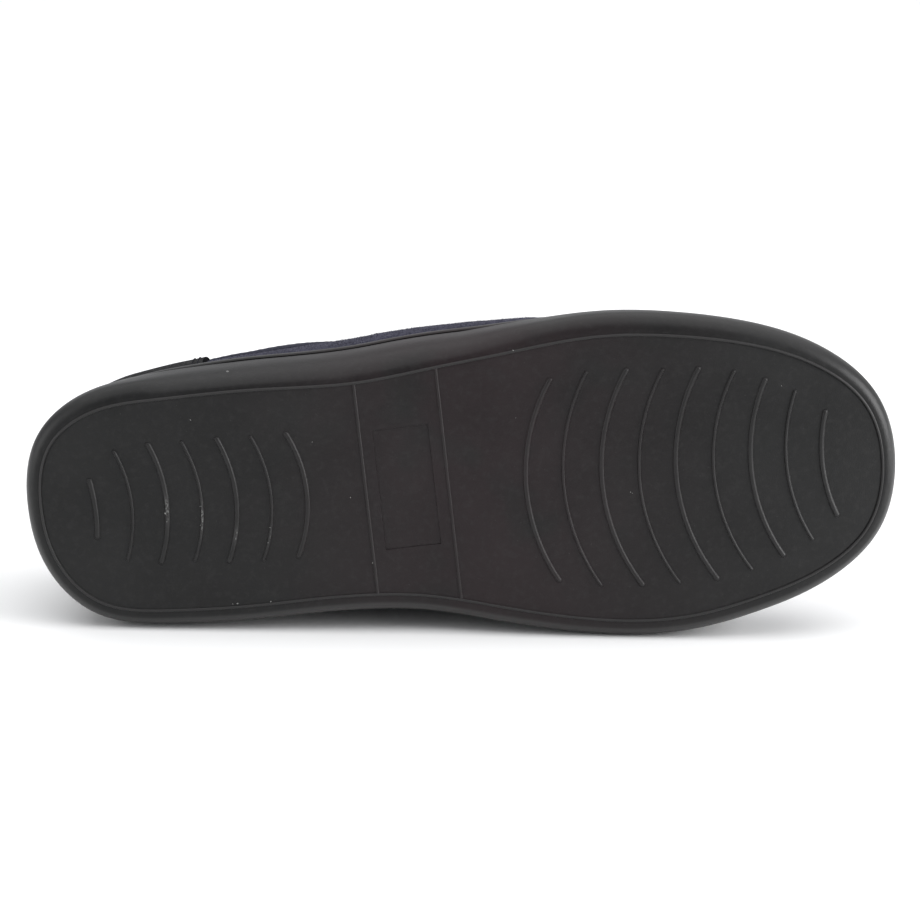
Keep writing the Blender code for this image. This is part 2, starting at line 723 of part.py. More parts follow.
class CollarRing:
    """The collar edge as a ring of places, each with the sheet's normal and the way down it."""

    def __init__(self, lines):
        bm = sheet_of(lines)
        self.sheet = BVHTree.FromBMesh(bm)
        self.corners = [[(vert.co.copy(), vert.normal.copy()) for vert in face.verts] for face in bm.faces]
        rim = [e for e in bm.edges if e.is_boundary and min(v.co.z for v in e.verts) > ANKLE_HEIGHT / 2]
        edge = [vert.co.copy() for vert in walk(rim)]
        bm.free()
        self.places = []
        for i, here in enumerate(edge):
            along = edge[(i + 1) % len(edge)] - edge[i - 1]
            along.normalize()
            normal = self.nearest(here)[1]
            down = normal.cross(along).normalized()
            if self.strays(here, down) > self.strays(here, -down):
                down = -down
            self.places.append((here, normal, down))

    def nearest(self, place):
        """The sheet's nearest spot, and its normal eased between the corners there."""
        spot, flat, index, distance = self.sheet.find_nearest(place)
        normal = Vector()
        for corner, corner_normal in self.corners[index]:
            normal += corner_normal / ((corner - spot).length + MM)
        return spot, normal.normalized()

    def strays(self, here, way):
        """How far a point one binding depth along a way lies from the sheet."""
        return self.sheet.find_nearest(here + way * BINDING_DEPTH)[3]

    def seated(self, place, depth, offset):
        """A point this far down the sheet from the edge, and this far out of its face."""
        here, normal, down = place
        if depth <= 0:
            return here + normal * offset + down * depth
        spot, facing = self.nearest(here + down * depth)
        return spot + facing * offset

    def swept(self, section):
        """A closed ring with the section, a list of depths and offsets, at every place."""
        bm = bmesh.new()
        rings = []
        for place in self.places:
            rings.append([bm.verts.new(self.seated(place, *step)) for step in section])
        skin(bm, rings + [rings[0]])
        return bm


def binding_section():
    """Depths and offsets of the folded binding: outer leg, crown, inner leg, and the slot."""
    outer = BINDING_CLEARANCE
    inner = -UPPER_WALL - BINDING_CLEARANCE
    middle = (outer + inner) / 2
    half = (outer - inner) / 2 + BINDING_THICKNESS
    depths = (BINDING_DEPTH, BINDING_DEPTH / 2)
    section = [(depth, outer + BINDING_THICKNESS) for depth in depths]
    lift = BINDING_CLEARANCE + BINDING_THICKNESS + BINDING_CROWN
    for i in range(CROWN_STEPS + 1):
        turn = math.pi * i / CROWN_STEPS
        section.append((-lift * math.sin(turn), middle + half * math.cos(turn)))
    section += [(depth, inner - BINDING_THICKNESS) for depth in reversed(depths)]
    section += [(depth, inner) for depth in depths]
    section += [(-BINDING_CLEARANCE, inner), (-BINDING_CLEARANCE, outer)]
    section += [(depth, outer) for depth in reversed(depths)]
    return section


def binding_room():
    """Depths and offsets of the band that panels leave free for the binding."""
    deep = BINDING_DEPTH + CLEARANCE
    high = BINDING_CLEARANCE + BINDING_THICKNESS + APRON_THICKNESS
    over = BINDING_THICKNESS + BINDING_CROWN
    return [(deep, -UPPER_WALL / 2), (deep, high), (-over, high), (-over, -UPPER_WALL / 2)]


def walk(edges):
    """The vertices of one closed chain of edges, in order."""
    links = {}
    for edge in edges:
        for vert in edge.verts:
            links.setdefault(vert, []).append(edge.other_vert(vert))
    start = edges[0].verts[0]
    order = [start]
    here = links[start][0]
    while here is not start:
        order.append(here)
        ahead = [v for v in links[here] if v is not order[-2]]
        here = ahead[0]
    return order


def insole_profile(station):
    """The edge of the sock that the foot stands on, inside the upper's foot."""
    edge = station.cup - CLEARANCE - UPPER_WALL - CLEARANCE
    low = station.floor + CLEARANCE
    high = low + INSOLE_THICKNESS
    profile = [(edge - INSOLE_ROUND, low), (edge, low + INSOLE_ROUND)]
    return profile + [(edge, high - INSOLE_ROUND), (edge - INSOLE_ROUND, high)]


def evaluated_points(made):
    graph = bpy.context.evaluated_depsgraph_get()
    mesh = made.evaluated_get(graph).to_mesh()
    points = np.array([tuple(v.co) for v in mesh.vertices])
    made.evaluated_get(graph).to_mesh_clear()
    return points


def laid_down(turn, lean_over):
    """The turn that lays the standing shoe on its inner side, toe raised by turn, leant over."""
    level = Euler((0, -turn, 0)).to_matrix()
    over = Euler((-math.pi / 2 - lean_over, 0, 0)).to_matrix()
    return level @ over


def lowest(points, matrix):
    return float((points @ np.array(matrix).T)[:, 2].min())


def solved(gap, low, high):
    """Where a function that changes sign once between two ends is nought."""
    rising = gap(high) > gap(low)
    for _ in range(SOLVE_STEPS):
        middle = (low + high) / 2
        if (gap(middle) > 0) == rising:
            high = middle
        else:
            low = middle
    return (low + high) / 2


def resting_turn(sole, above):
    """Turns the shoe until heel edge, ball edge and what the sole carries share the floor."""
    sole_points = evaluated_points(sole)
    upper_points = np.concatenate([evaluated_points(piece) for piece in above])
    heel = sole_points[sole_points[:, 0] < SOLE_LENGTH * WAIST]
    ball = sole_points[sole_points[:, 0] >= SOLE_LENGTH * WAIST]

    def level_turn(lean_over):
        def gap(turn):
            matrix = laid_down(turn, lean_over)
            return lowest(heel, matrix) - lowest(ball, matrix)

        return solved(gap, -RISE_LIMIT, RISE_LIMIT)

    def gap_of_lean(lean_over):
        matrix = laid_down(level_turn(lean_over), lean_over)
        return lowest(upper_points, matrix) - lowest(sole_points, matrix)

    lean_over = solved(gap_of_lean, 0.0, LEAN_LIMIT)
    return laid_down(level_turn(lean_over), lean_over)


def lay_down(sole, above, cutters):
    """Parents every piece and cutter to an empty that lays the shoe on the floor."""
    turn = resting_turn(sole, above)
    nodes = [sole] + above
    points = np.concatenate([evaluated_points(node) for node in nodes]) @ np.array(turn).T
    low = points.min(axis=0)
    high = points.max(axis=0)
    base = bpy.data.objects.new("lying_shoe", None)
    bpy.context.scene.collection.objects.link(base)
    base.rotation_euler = turn.to_euler()
    base.location = (-(low[0] + high[0]) / 2, -(low[1] + high[1]) / 2, -low[2])
    for piece in nodes + cutters:
        piece.parent = base
    bpy.context.view_layer.update()


def main():
    for made in list(bpy.data.objects):
        bpy.data.objects.remove(made, do_unlink=True)
    parts = collection("moccasin_slipper")
    cutters = collection("cutters")
    rubber = material("black_rubber", (0.030, 0.029, 0.030), 0.55)
    nap = material("navy_nap", (0.030, 0.030, 0.062), 0.95)
    leather = material("charcoal_panel", (0.035, 0.035, 0.038), 0.7)
    trim = material("navy_binding", (0.024, 0.025, 0.046), 0.9)
    sock = material("grey_pile", (0.14, 0.14, 0.16), 1.0)

    outline = Outline()
    stations = stations_round(outline)
    sole = add_object("outsole", lofted(stations, side_profile), parts, rubber)
    ribs = add_object("tread_ribs", build_ribs(outline), cutters)
    plate = add_object("plate_recess", build_plate_cut(), cutters)
    combine(sole, ribs, "UNION")
    combine(sole, plate, "DIFFERENCE")

    lines = [UpperLine(station) for station in stations]
    upper = build_upper(lines, parts, nap)
    counter, apron = build_panels(lines, parts, leather, nap)
    collar = CollarRing(lines)
    binding = add_object("collar_binding", collar.swept(binding_section()), parts, trim)
    room = add_object("binding_room", collar.swept(binding_room()), cutters)
    combine(counter, room, "DIFFERENCE")
    combine(apron, room, "DIFFERENCE")
    insole = add_object("insole", lofted(stations, insole_profile), parts, sock)
    above = [upper, counter, apron, binding, insole]
    lay_down(sole, above, [ribs, plate, room])
    for node in [sole] + above:
        node.data.shade_smooth()
        node.data.set_sharp_from_angle(angle=math.radians(35))


main()
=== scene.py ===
# %% [markdown]
# # A moccasin slipper, lying on its inner side
#
# This lesson dresses a packed slipper: a moulded rubber sole, a napped fabric upper with a
# moccasin seam, a smooth heel panel, a padded collar and a pile lining. The solids of the frame
# say where everything goes. Each step makes one piece or one finish and prints what it made.

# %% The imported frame
import json
import math

import bmesh
import bpy
import numpy as np
from mathutils import Matrix, Vector, noise


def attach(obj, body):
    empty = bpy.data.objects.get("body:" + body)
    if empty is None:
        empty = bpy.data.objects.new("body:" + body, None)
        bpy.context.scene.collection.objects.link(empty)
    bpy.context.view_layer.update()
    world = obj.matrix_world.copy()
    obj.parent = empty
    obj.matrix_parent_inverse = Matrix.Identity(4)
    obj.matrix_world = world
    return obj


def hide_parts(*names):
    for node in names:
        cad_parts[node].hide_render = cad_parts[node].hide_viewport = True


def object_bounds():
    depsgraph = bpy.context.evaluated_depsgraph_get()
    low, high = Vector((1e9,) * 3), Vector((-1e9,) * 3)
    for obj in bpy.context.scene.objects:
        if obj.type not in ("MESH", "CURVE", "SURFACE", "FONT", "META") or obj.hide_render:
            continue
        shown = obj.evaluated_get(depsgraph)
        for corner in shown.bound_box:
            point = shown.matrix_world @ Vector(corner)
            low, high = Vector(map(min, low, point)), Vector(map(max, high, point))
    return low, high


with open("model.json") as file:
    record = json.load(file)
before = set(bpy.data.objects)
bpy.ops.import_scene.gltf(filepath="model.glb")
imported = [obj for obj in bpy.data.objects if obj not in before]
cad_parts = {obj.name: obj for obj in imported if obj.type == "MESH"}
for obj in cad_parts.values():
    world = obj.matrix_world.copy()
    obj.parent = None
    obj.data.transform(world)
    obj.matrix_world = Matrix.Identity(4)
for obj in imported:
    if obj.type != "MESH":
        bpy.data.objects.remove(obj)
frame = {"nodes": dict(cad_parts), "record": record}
cad_box = [list(corner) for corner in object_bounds()]
MM = 0.001
print("nodes:", sorted(frame["nodes"]))
print("box:", cad_box)

# %% [markdown]
# The slipper is easiest to shape standing: x from heel to toe, y towards the big toe, z up. In
# the frame it lies on its side. The two flat spots of the tread are known in both, and so is the
# way the tread faces, which is enough to turn a standing piece into a lying one.

# %% From standing to lying
HEEL_SPOT = Vector((70.95, -2.29, 0.0)) * MM
BALL_SPOT = Vector((196.11, -1.52, 0.0)) * MM
spots = {mount["name"]: mount for mount in frame["record"]["mounts"]}
heel_there = Vector(spots["heel_tread"]["pos_m"])
ball_there = Vector(spots["ball_tread"]["pos_m"])


def axes_from(along, up):
    """Three square axes, the first along a line and the third as near as can be to up."""
    first = along.normalized()
    second = up.cross(first).normalized()
    return Matrix((first, second, first.cross(second))).transposed()


standing = axes_from(BALL_SPOT - HEEL_SPOT, Vector((0, 0, 1)))
lying = axes_from(ball_there - heel_there, -Vector(spots["heel_tread"]["axis"]))
turn = lying @ standing.transposed()
LIE_DOWN = Matrix.Translation(heel_there) @ turn.to_4x4() @ Matrix.Translation(-HEEL_SPOT)
print("the toe points", [round(c, 3) for c in turn @ Vector((1, 0, 0))])

# %% [markdown]
# A last is known by a few sizes, and every curve of the shoe is a share of one of them. The
# border bead of the tread is the line that everything else follows: the roll of the sole stands
# outside it, and the upper grows from inside it. GAP is the air left between touching pieces.

# %% Sizes of the shoe
SOLE_LENGTH = 297 * MM
BALL_WIDTH = 112 * MM
HEEL_BACK_HEIGHT = 66 * MM
ANKLE_HEIGHT = 56 * MM
THROAT_HEIGHT = 75 * MM
THROAT_LENGTH = 146 * MM
TOE_HEIGHT = 45 * MM
LAST_HEIGHT = 83 * MM
WALL_HEIGHT = 24 * MM
ROLL_WIDTH = 7 * MM
ROLL_RISE = 7 * MM
LIP_THICKNESS = 3 * MM
LIP_HEIGHT = 5.3 * MM
GROOVE_DEPTH = 1.7 * MM
GROOVE_WIDTH = 1.9 * MM
RIB_HEIGHT = 0.7 * MM
UPPER_WALL = 2.5 * MM
COUNTER_LENGTH = 61 * MM
APRON_BACK = 22 * MM
INSOLE_THICKNESS = 4 * MM
GAP = 0.3 * MM
MERGE = 0.01 * MM
HEEL_SPINE = 0.155
TOE_SPINE = 0.87
BEAD_ENDS = {"heel": (0.018, 0.047), "toe": (0.984, 0.022)}
BEAD = {
    "at": (0.033, 0.080, 0.155, 0.260, 0.385, 0.475, 0.570, 0.660, 0.750, 0.840, 0.920, 0.965),
    "outer": (0.158, 0.251, 0.285, 0.304, 0.316, 0.353, 0.399, 0.433, 0.427, 0.388, 0.300, 0.188),
    "inner": (0.207, 0.338, 0.371, 0.364, 0.343, 0.361, 0.409, 0.445, 0.444, 0.388, 0.302, 0.197),
}
SIDE = {
    "at": (0.00, 0.08, 0.17, 0.30, 0.42, 0.55, 0.66, 0.85, 1.00),
    "outer": (0.76, 0.84, 0.92, 1.00, 1.04, 1.04, 1.02, 0.88, 0.70),
    "inner": (0.76, 0.82, 0.86, 0.88, 0.92, 0.92, 0.90, 0.88, 0.70),
    "top": (0.28, 0.42, 0.88, 1.14, 1.30, 1.00, 0.72, 0.54, 0.36),
    "wall": (0.90, 0.95, 0.99, 1.00, 1.02, 0.94, 0.85, 0.80, 0.80),
}
SWELL = {
    "at": (0.00, 0.20, 0.42, 0.55, 0.70, 1.00),
    "outer": (0.5, 0.9, 2.1, 1.7, 0.8, 0.4),
    "inner": (0.4, 0.8, 3.6, 2.2, 0.9, 0.4),
}
VAMP_FALL = {"way": (0.0, 0.25, 0.5, 0.75, 1.0), "share": (0.0, 0.34, 0.64, 0.87, 1.0)}
print("sole", round(SOLE_LENGTH / MM), "mm long and", round(BALL_WIDTH / MM), "mm wide at the ball")

# %% [markdown]
# Two kinds of curve are needed. A size that changes along the shoe runs through a few chosen
# values and must not swing past them. The bead is a closed line through chosen points, and must
# bend as evenly as a bent spline of wood. A curve object could give both, but its points would
# then have to be read back before anything could be built on them.

# %% A size that changes along the shoe


def eased(stops, values, at):
    """A smooth value between stops that never overshoots them."""
    stops = np.asarray(stops, dtype=float)
    values = np.asarray(values, dtype=float)
    at = min(max(at, stops[0]), stops[-1])
    rise = np.diff(values) / np.diff(stops)
    slopes = np.zeros(len(stops))
    for i in range(1, len(stops) - 1):
        before, after = rise[i - 1], rise[i]
        if before * after > 0:
            slopes[i] = 2 * before * after / (before + after)
    i = min(int(np.searchsorted(stops, at, side="right")) - 1, len(stops) - 2)
    span = stops[i + 1] - stops[i]
    t = (at - stops[i]) / span
    start = values[i] * (1 + 2 * t) * (1 - t) ** 2 + span * slopes[i] * t * (1 - t) ** 2
    end = values[i + 1] * t * t * (3 - 2 * t) + span * slopes[i + 1] * t * t * (t - 1)
    return float(start + end)


# %% A closed curve through points


def closed_curve(knots, steps):
    """Points of a closed cubic curve through the knots."""
    knots = np.array(knots)
    ahead = np.roll(knots, -1, axis=0)
    spans = np.linalg.norm(ahead - knots, axis=1)
    count = len(knots)
    system = np.zeros((count, count))
    right = np.zeros((count, 2))
    for i in range(count):
        system[i, i - 1] += spans[i - 1]
        system[i, i] += 2 * (spans[i - 1] + spans[i])
        system[i, (i + 1) % count] += spans[i]
        right[i] = 6 * ((ahead[i] - knots[i]) / spans[i] - (knots[i] - knots[i - 1]) / spans[i - 1])
    bends = np.linalg.solve(system, right)
    ends = np.concatenate([[0.0], np.cumsum(spans)])
    points = []
    for place in np.linspace(0, ends[-1], steps, endpoint=False):
        i = min(int(np.searchsorted(ends, place, side="right")) - 1, count - 1)
        j = (i + 1) % count
        a = (ends[i + 1] - place) / spans[i]
        b = 1 - a
        bent = ((a**3 - a) * bends[i] + (b**3 - b) * bends[j]) * spans[i] ** 2 / 6
        points.append(a * knots[i] + b * knots[j] + bent)
    return np.array(points)


# %% The bead, and which way is out
BEAD_POINTS = 4320
inner_knots = [(at * SOLE_LENGTH, side * BALL_WIDTH) for at, side in zip(BEAD["at"], BEAD["inner"])]
outer_knots = [(at * SOLE_LENGTH, -side * BALL_WIDTH) for at, side in zip(BEAD["at"], BEAD["outer"])]
heel_knot = (BEAD_ENDS["heel"][0] * SOLE_LENGTH, BEAD_ENDS["heel"][1] * BALL_WIDTH)
toe_knot = (BEAD_ENDS["toe"][0] * SOLE_LENGTH, BEAD_ENDS["toe"][1] * BALL_WIDTH)
bead = closed_curve([heel_knot] + inner_knots + [toe_knot] + outer_knots[::-1], BEAD_POINTS)
along = np.roll(bead, -1, axis=0) - np.roll(bead, 1, axis=0)
along /= np.linalg.norm(along, axis=1)[:, None]
bead_out = np.stack([along[:, 1], -along[:, 0]], axis=1)
if ((bead - bead.mean(axis=0)) * bead_out).sum() < 0:
    bead_out = -bead_out
heel_end = int(np.argmin(bead[:, 0]))
toe_end = int(np.argmax(bead[:, 0]))
inner_side = [(heel_end + i) % len(bead) for i in range((toe_end - heel_end) % len(bead) + 1)]
outer_side = [(heel_end - i) % len(bead) for i in range((heel_end - toe_end) % len(bead) + 1)]
print("bead runs from", bead[heel_end].round(4), "to", bead[toe_end].round(4))

# %% [markdown]
# Stations are places round the bead, the heel's middle first, then the inner side, the toe and
# the outer side. Both sides share their distances from the heel, so the two halves of the upper
# meet along the ridge of the foot. They stand closer where the throat curves hard.

# %% Stations round the shoe
FAN_STEPS = 63


def side_places():
    """Distances from the heel at which both sides get a station."""
    heel, toe = HEEL_SPINE * SOLE_LENGTH, TOE_SPINE * SOLE_LENGTH
    apron_end = THROAT_LENGTH - APRON_BACK
    places = list(np.linspace(heel, COUNTER_LENGTH, 8, endpoint=False))
    places += list(np.linspace(COUNTER_LENGTH, apron_end, 30, endpoint=False))
    places += [apron_end + APRON_BACK * (1 - (1 - i / 24) ** 1.7) for i in range(24)]
    return places + list(np.linspace(THROAT_LENGTH, toe, 50))


def crossing(side, x):
    """Point and outward way where one side of the bead passes a distance from the heel."""
    place = float(np.interp(x, bead[side, 0], np.arange(len(side))))
    low = min(int(place), len(side) - 2)
    share = place - low
    point = bead[side[low]] * (1 - share) + bead[side[low + 1]] * share
    out = bead_out[side[low]] * (1 - share) + bead_out[side[low + 1]] * share
    return point, out / np.linalg.norm(out)


def fan(path):
    """Evenly spaced places along a stretch of the bead, its ends left out."""
    run = np.concatenate([[0.0], np.cumsum(np.linalg.norm(np.diff(bead[path], axis=0), axis=1))])
    spots = [int(np.argmin(abs(run - run[-1] * i / (FAN_STEPS + 1)))) for i in range(1, FAN_STEPS + 1)]
    return [(bead[path[i]], bead_out[path[i]]) for i in spots]


places = side_places()
first_in = int(np.argmin(abs(bead[inner_side, 0] - places[0])))
first_out = int(np.argmin(abs(bead[outer_side, 0] - places[0])))
last_in = int(np.argmin(abs(bead[inner_side, 0] - places[-1])))
last_out = int(np.argmin(abs(bead[outer_side, 0] - places[-1])))
toe_fan = fan(inner_side[last_in:] + outer_side[last_out:-1][::-1])
heel_fan = fan(outer_side[: first_out + 1][::-1] + inner_side[1 : first_in + 1])
middle = FAN_STEPS // 2
ring = heel_fan[middle:] + [crossing(inner_side, x) for x in places] + toe_fan
ring += [crossing(outer_side, x) for x in places][::-1] + heel_fan[:middle]
STATIONS = len(ring)
print(STATIONS, "stations,", middle, "of them on each side of the heel's middle")

# %% [markdown]
# A moulded sole springs up at the toe, lifts a little at the arch and is ground away at the back
# of the heel. Each station works out its own sizes from that curve and the tables once, so that
# every later piece asks the same place the same question.

# %% Spring of the tread and floor of the cup


def tread(x):
    """Height of the rib crowns over the ground."""
    at = x / SOLE_LENGTH
    heel = 1.2 * MM * max(0.0, 1 - at / 0.07) ** 2
    arch = 1.6 * MM * math.sin(math.pi * min(max((at - 0.36) / 0.20, 0.0), 1.0)) ** 2
    return heel + arch + 9 * MM * max(0.0, (at - 0.76) / 0.24) ** 2


def cup_floor(x):
    return tread(x) + eased((0.0, 0.30, 0.62, 1.0), (12 * MM, 12 * MM, 8.5 * MM, 8.5 * MM), x / SOLE_LENGTH)


# %% Sizes at every station


class Station:
    """One place on the bead and the sizes of the sole there."""

    def __init__(self, point, out):
        self.point = point
        self.out = out
        self.x = float(point[0])
        self.at = self.x / SOLE_LENGTH
        self.ground = tread(self.x)
        self.roll = self.side_value(SIDE) * ROLL_WIDTH
        self.top = eased(SIDE["at"], SIDE["top"], self.at) * ROLL_WIDTH
        self.wall = self.ground + eased(SIDE["at"], SIDE["wall"], self.at) * WALL_HEIGHT
        self.cup = self.top - LIP_THICKNESS
        self.floor = cup_floor(self.x)

    def side_value(self, table):
        share = min(max(0.5 + self.out[1], 0.0), 1.0)
        inner = eased(table["at"], table["inner"], self.at)
        return inner * share + eased(table["at"], table["outer"], self.at) * (1 - share)

    def beyond(self, offset, height):
        x, y = self.point + self.out * offset
        return Vector((x, y, height))


stations = [Station(*pair) for pair in ring]
widest = max(s.beyond(s.roll, 0).y for s in stations)
print("sole widest", round(widest / MM, 1), "mm to the inner side")

# %% [markdown]
# Three helpers carry the modelling. A grid is made flat and each of its vertices is moved to its
# place. A rim is extruded step by step, as a maker would pull up the edge of a tray. A finished
# mesh is laid down into the frame with its origin left at the frame's own, and what is soft
# enough to reach under the floor is pressed flat on it.

# %% Helpers for modelling


def shaped_grid(columns, rows, place_of):
    """A flat grid whose vertices are moved by their column and row."""
    bm = bmesh.new()
    bmesh.ops.create_grid(bm, x_segments=columns, y_segments=rows, size=1.0)
    for vert in bm.verts:
        column = round((vert.co.x + 1) / 2 * columns)
        row = round((vert.co.y + 1) / 2 * rows)
        vert.co = place_of(column, row)
    return bm


def pulled(bm, edges, moves, marks):
    """Extrudes a rim once for each move; a vertex knows its station by its mark."""
    for move in moves:
        grown = bmesh.ops.extrude_edge_only(bm, edges=edges)["geom"]
        edges = [part for part in grown if isinstance(part, bmesh.types.BMEdge)]
        for vert in {vert for edge in edges for vert in edge.verts}:
            vert.co = move(vert[marks])
        edges = [edge for edge in edges if edge.is_boundary]
    return edges


# %% Laying a finished mesh into the frame


def laid_piece(name, bm, finishes, outward=True):
    """An object from a standing mesh, laid into the frame and riding on the slipper."""
    bmesh.ops.remove_doubles(bm, verts=bm.verts, dist=MERGE)
    if outward:
        bmesh.ops.recalc_face_normals(bm, faces=bm.faces)
    bmesh.ops.transform(bm, matrix=LIE_DOWN, verts=bm.verts)
    for vert in bm.verts:
        vert.co.z = max(vert.co.z, cad_box[0][2])
    for face in bm.faces:
        face.smooth = True
    mesh = bpy.data.meshes.new(name)
    bm.to_mesh(mesh)
    bm.free()
    for finish in finishes:
        mesh.materials.append(finish)
    piece = bpy.data.objects.new(name, mesh)
    bpy.context.scene.collection.objects.link(piece)
    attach(piece, "root")
    print(name, len(mesh.polygons), "faces")
    return piece


# %% [markdown]
# ## Finishes
#
# Every finish is one Principled shader with patterns read in the object's own metres. A pattern
# is a noise or a cell texture, squeezed by a ramp and mixed into the colour, the roughness or
# the bump. The helper class keeps the node work short.

# %% A helper for finishes


class Finish:
    """A material that grows pattern by pattern round one Principled shader."""

    def __init__(self, name, roughness):
        self.material = bpy.data.materials.new(name)
        self.material.use_nodes = True
        self.tree = self.material.node_tree
        self.shader = self.tree.nodes["Principled BSDF"]
        self.shader.inputs["Roughness"].default_value = roughness
        self.place = self.tree.nodes.new("ShaderNodeTexCoord").outputs["Object"]

    def noise(self, size, detail=3.0, rough=0.5):
        """Cloudy pattern whose blobs are about this large, in metres."""
        node = self.tree.nodes.new("ShaderNodeTexNoise")
        node.inputs["Scale"].default_value = 1 / size
        node.inputs["Detail"].default_value = detail
        node.inputs["Roughness"].default_value = rough
        self.tree.links.new(self.place, node.inputs["Vector"])
        return node.outputs["Fac"]

    def cells(self, size):
        """Distance to scattered points about this far apart, in shares of that distance."""
        node = self.tree.nodes.new("ShaderNodeTexVoronoi")
        node.inputs["Scale"].default_value = 1 / size
        self.tree.links.new(self.place, node.inputs["Vector"])
        return node.outputs

    def painted(self, name):
        """A value stored on the vertices of the mesh."""
        node = self.tree.nodes.new("ShaderNodeAttribute")
        node.attribute_name = name
        return node.outputs["Fac"]

    def ramp(self, value, low, high, start=0.0, end=1.0):
        """The value squeezed so that low gives start and high gives end."""
        node = self.tree.nodes.new("ShaderNodeMapRange")
        node.inputs["From Min"].default_value = low
        node.inputs["From Max"].default_value = high
        node.inputs["To Min"].default_value = start
        node.inputs["To Max"].default_value = end
        self.tree.links.new(value, node.inputs["Value"])
        return node.outputs["Result"]

    def combined(self, operation, first, second):
        """Two values or outputs put together by one operation of arithmetic."""
        node = self.tree.nodes.new("ShaderNodeMath")
        node.operation = operation
        for socket, value in zip(node.inputs, (first, second)):
            if isinstance(value, (int, float)):
                socket.default_value = value
            else:
                self.tree.links.new(value, socket)
        return node.outputs[0]

    def mixed(self, share, first, second):
        """One colour turning into another as the share grows."""
        node = self.tree.nodes.new("ShaderNodeMix")
        node.data_type = "RGBA"
        sockets = [s for s in node.inputs if s.type == "RGBA"]
        for socket, colour in zip(sockets, (first, second)):
            if isinstance(colour, tuple):
                socket.default_value = (*colour, 1.0)
            else:
                self.tree.links.new(colour, socket)
        self.tree.links.new(share, node.inputs["Factor"])
        return [s for s in node.outputs if s.type == "RGBA"][0]

    def bumped(self, heights):
        """Bump from (height, depth in metres) pairs, one on the other."""
        before = None
        for height, depth in heights:
            node = self.tree.nodes.new("ShaderNodeBump")
            node.inputs["Distance"].default_value = depth
            self.tree.links.new(height, node.inputs["Height"])
            if before:
                self.tree.links.new(before, node.inputs["Normal"])
            before = node.outputs["Normal"]
        self.tree.links.new(before, self.shader.inputs["Normal"])

    def wire(self, value, name):
        """Leads a pattern into one socket of the shader."""
        self.tree.links.new(value, self.shader.inputs[name])

    def fixed(self, **values):
        """Sets sockets that hold one value all over the piece."""
        for name, value in values.items():
            self.shader.inputs[name.replace("_", " ")].default_value = value


# %% [markdown]
# The sole is black rubber from a mould: nearly one colour, half matt, with a very fine grain and faint
# cloudy scuffs. Three values painted on the mesh steer it. One is wear and painted light: the crowns of the
# ribs have rubbed a little paler, the bead has a painted highlight, and the side wall has painted light.
# One is the warmer black of the waist. The last is painted bounce light, a pale band on the inner side
# wall, which faces the floor.

# %% Sole rubber
rubber = Finish("sole_rubber_black", 0.5)
clouds = rubber.noise(30 * MM, 5.0, 0.6)
mottle = rubber.noise(2.2 * MM, 3.0, 0.6)
cool = rubber.mixed(rubber.ramp(clouds, 0.35, 0.68), (0.0074, 0.0074, 0.0075), (0.0118, 0.0118, 0.0119))
warm = rubber.mixed(rubber.ramp(clouds, 0.35, 0.68), (0.0112, 0.0068, 0.0078), (0.0165, 0.0108, 0.0120))
uneven = rubber.ramp(rubber.noise(24 * MM, 2.0), 0.25, 0.48)
base = rubber.mixed(rubber.combined("MULTIPLY", rubber.painted("warmth"), uneven), cool, warm)
base = rubber.mixed(rubber.ramp(mottle, 0.50, 0.80, 0.0, 0.35), base, (0.027, 0.026, 0.026))
speck_cells = rubber.cells(7 * MM)
speck_size = rubber.ramp(speck_cells["Color"], 0.80, 1.0, 0.0, 0.045)
speck = rubber.combined("LESS_THAN", speck_cells["Distance"], speck_size)
lint = rubber.ramp(rubber.noise(0.8 * MM, 2.0, 0.7), 0.70, 0.80, 0.0, 0.25)
dust = rubber.combined("MAXIMUM", speck, lint)
patchy = rubber.ramp(rubber.noise(0.9 * MM, 3.0, 0.7), 0.50, 0.60)
# One painted value for wear and painted light: wear on the ribs, a painted highlight on the bead, painted
# light on the side wall.
wear_and_light = rubber.ramp(rubber.painted("wear_and_light"), 0.0, 1.0)
base = rubber.mixed(wear_and_light, base, (0.0270, 0.0262, 0.0262))
scuff = rubber.combined("MULTIPLY", rubber.ramp(rubber.painted("wear_and_light"), 1.0, 2.0), patchy)
base = rubber.mixed(scuff, base, (0.16, 0.16, 0.156))
# Painted bounce light: a pale band on the inner side wall, which faces the floor.
base = rubber.mixed(rubber.painted("painted_floor_bounce"), base, (0.080, 0.079, 0.078))
rubber.wire(rubber.mixed(dust, base, (0.11, 0.11, 0.107)), "Base Color")
rubber.wire(rubber.ramp(clouds, 0.3, 0.7, 0.34, 0.44), "Roughness")
rubber.fixed(Specular_IOR_Level=0.25)
grain = rubber.noise(0.5 * MM, 3.0, 0.6)
rubber.bumped([(grain, 0.05 * MM), (rubber.noise(4 * MM, 3.0), 0.10 * MM)])
print("rubber:", len(rubber.tree.nodes), "nodes")

# %% [markdown]
# The groove under the lip is painted with shade: its finish is nearly black and hardly shines. A finish of
# its own is simpler than painting the shade on the vertices, because the groove's faces are known when they
# are made.

# %% Painted shade of the groove
# Painted shade: a near-black, nearly matt finish for the groove.
groove_shade = Finish("groove_painted_shade", 0.95)
groove_shade_tone = groove_shade.mixed(groove_shade.noise(1.5 * MM), (0.0010, 0.0010, 0.0010), (0.0050, 0.0048, 0.0046))
groove_shade.wire(groove_shade_tone, "Base Color")
groove_shade.fixed(Specular_IOR_Level=0.03)
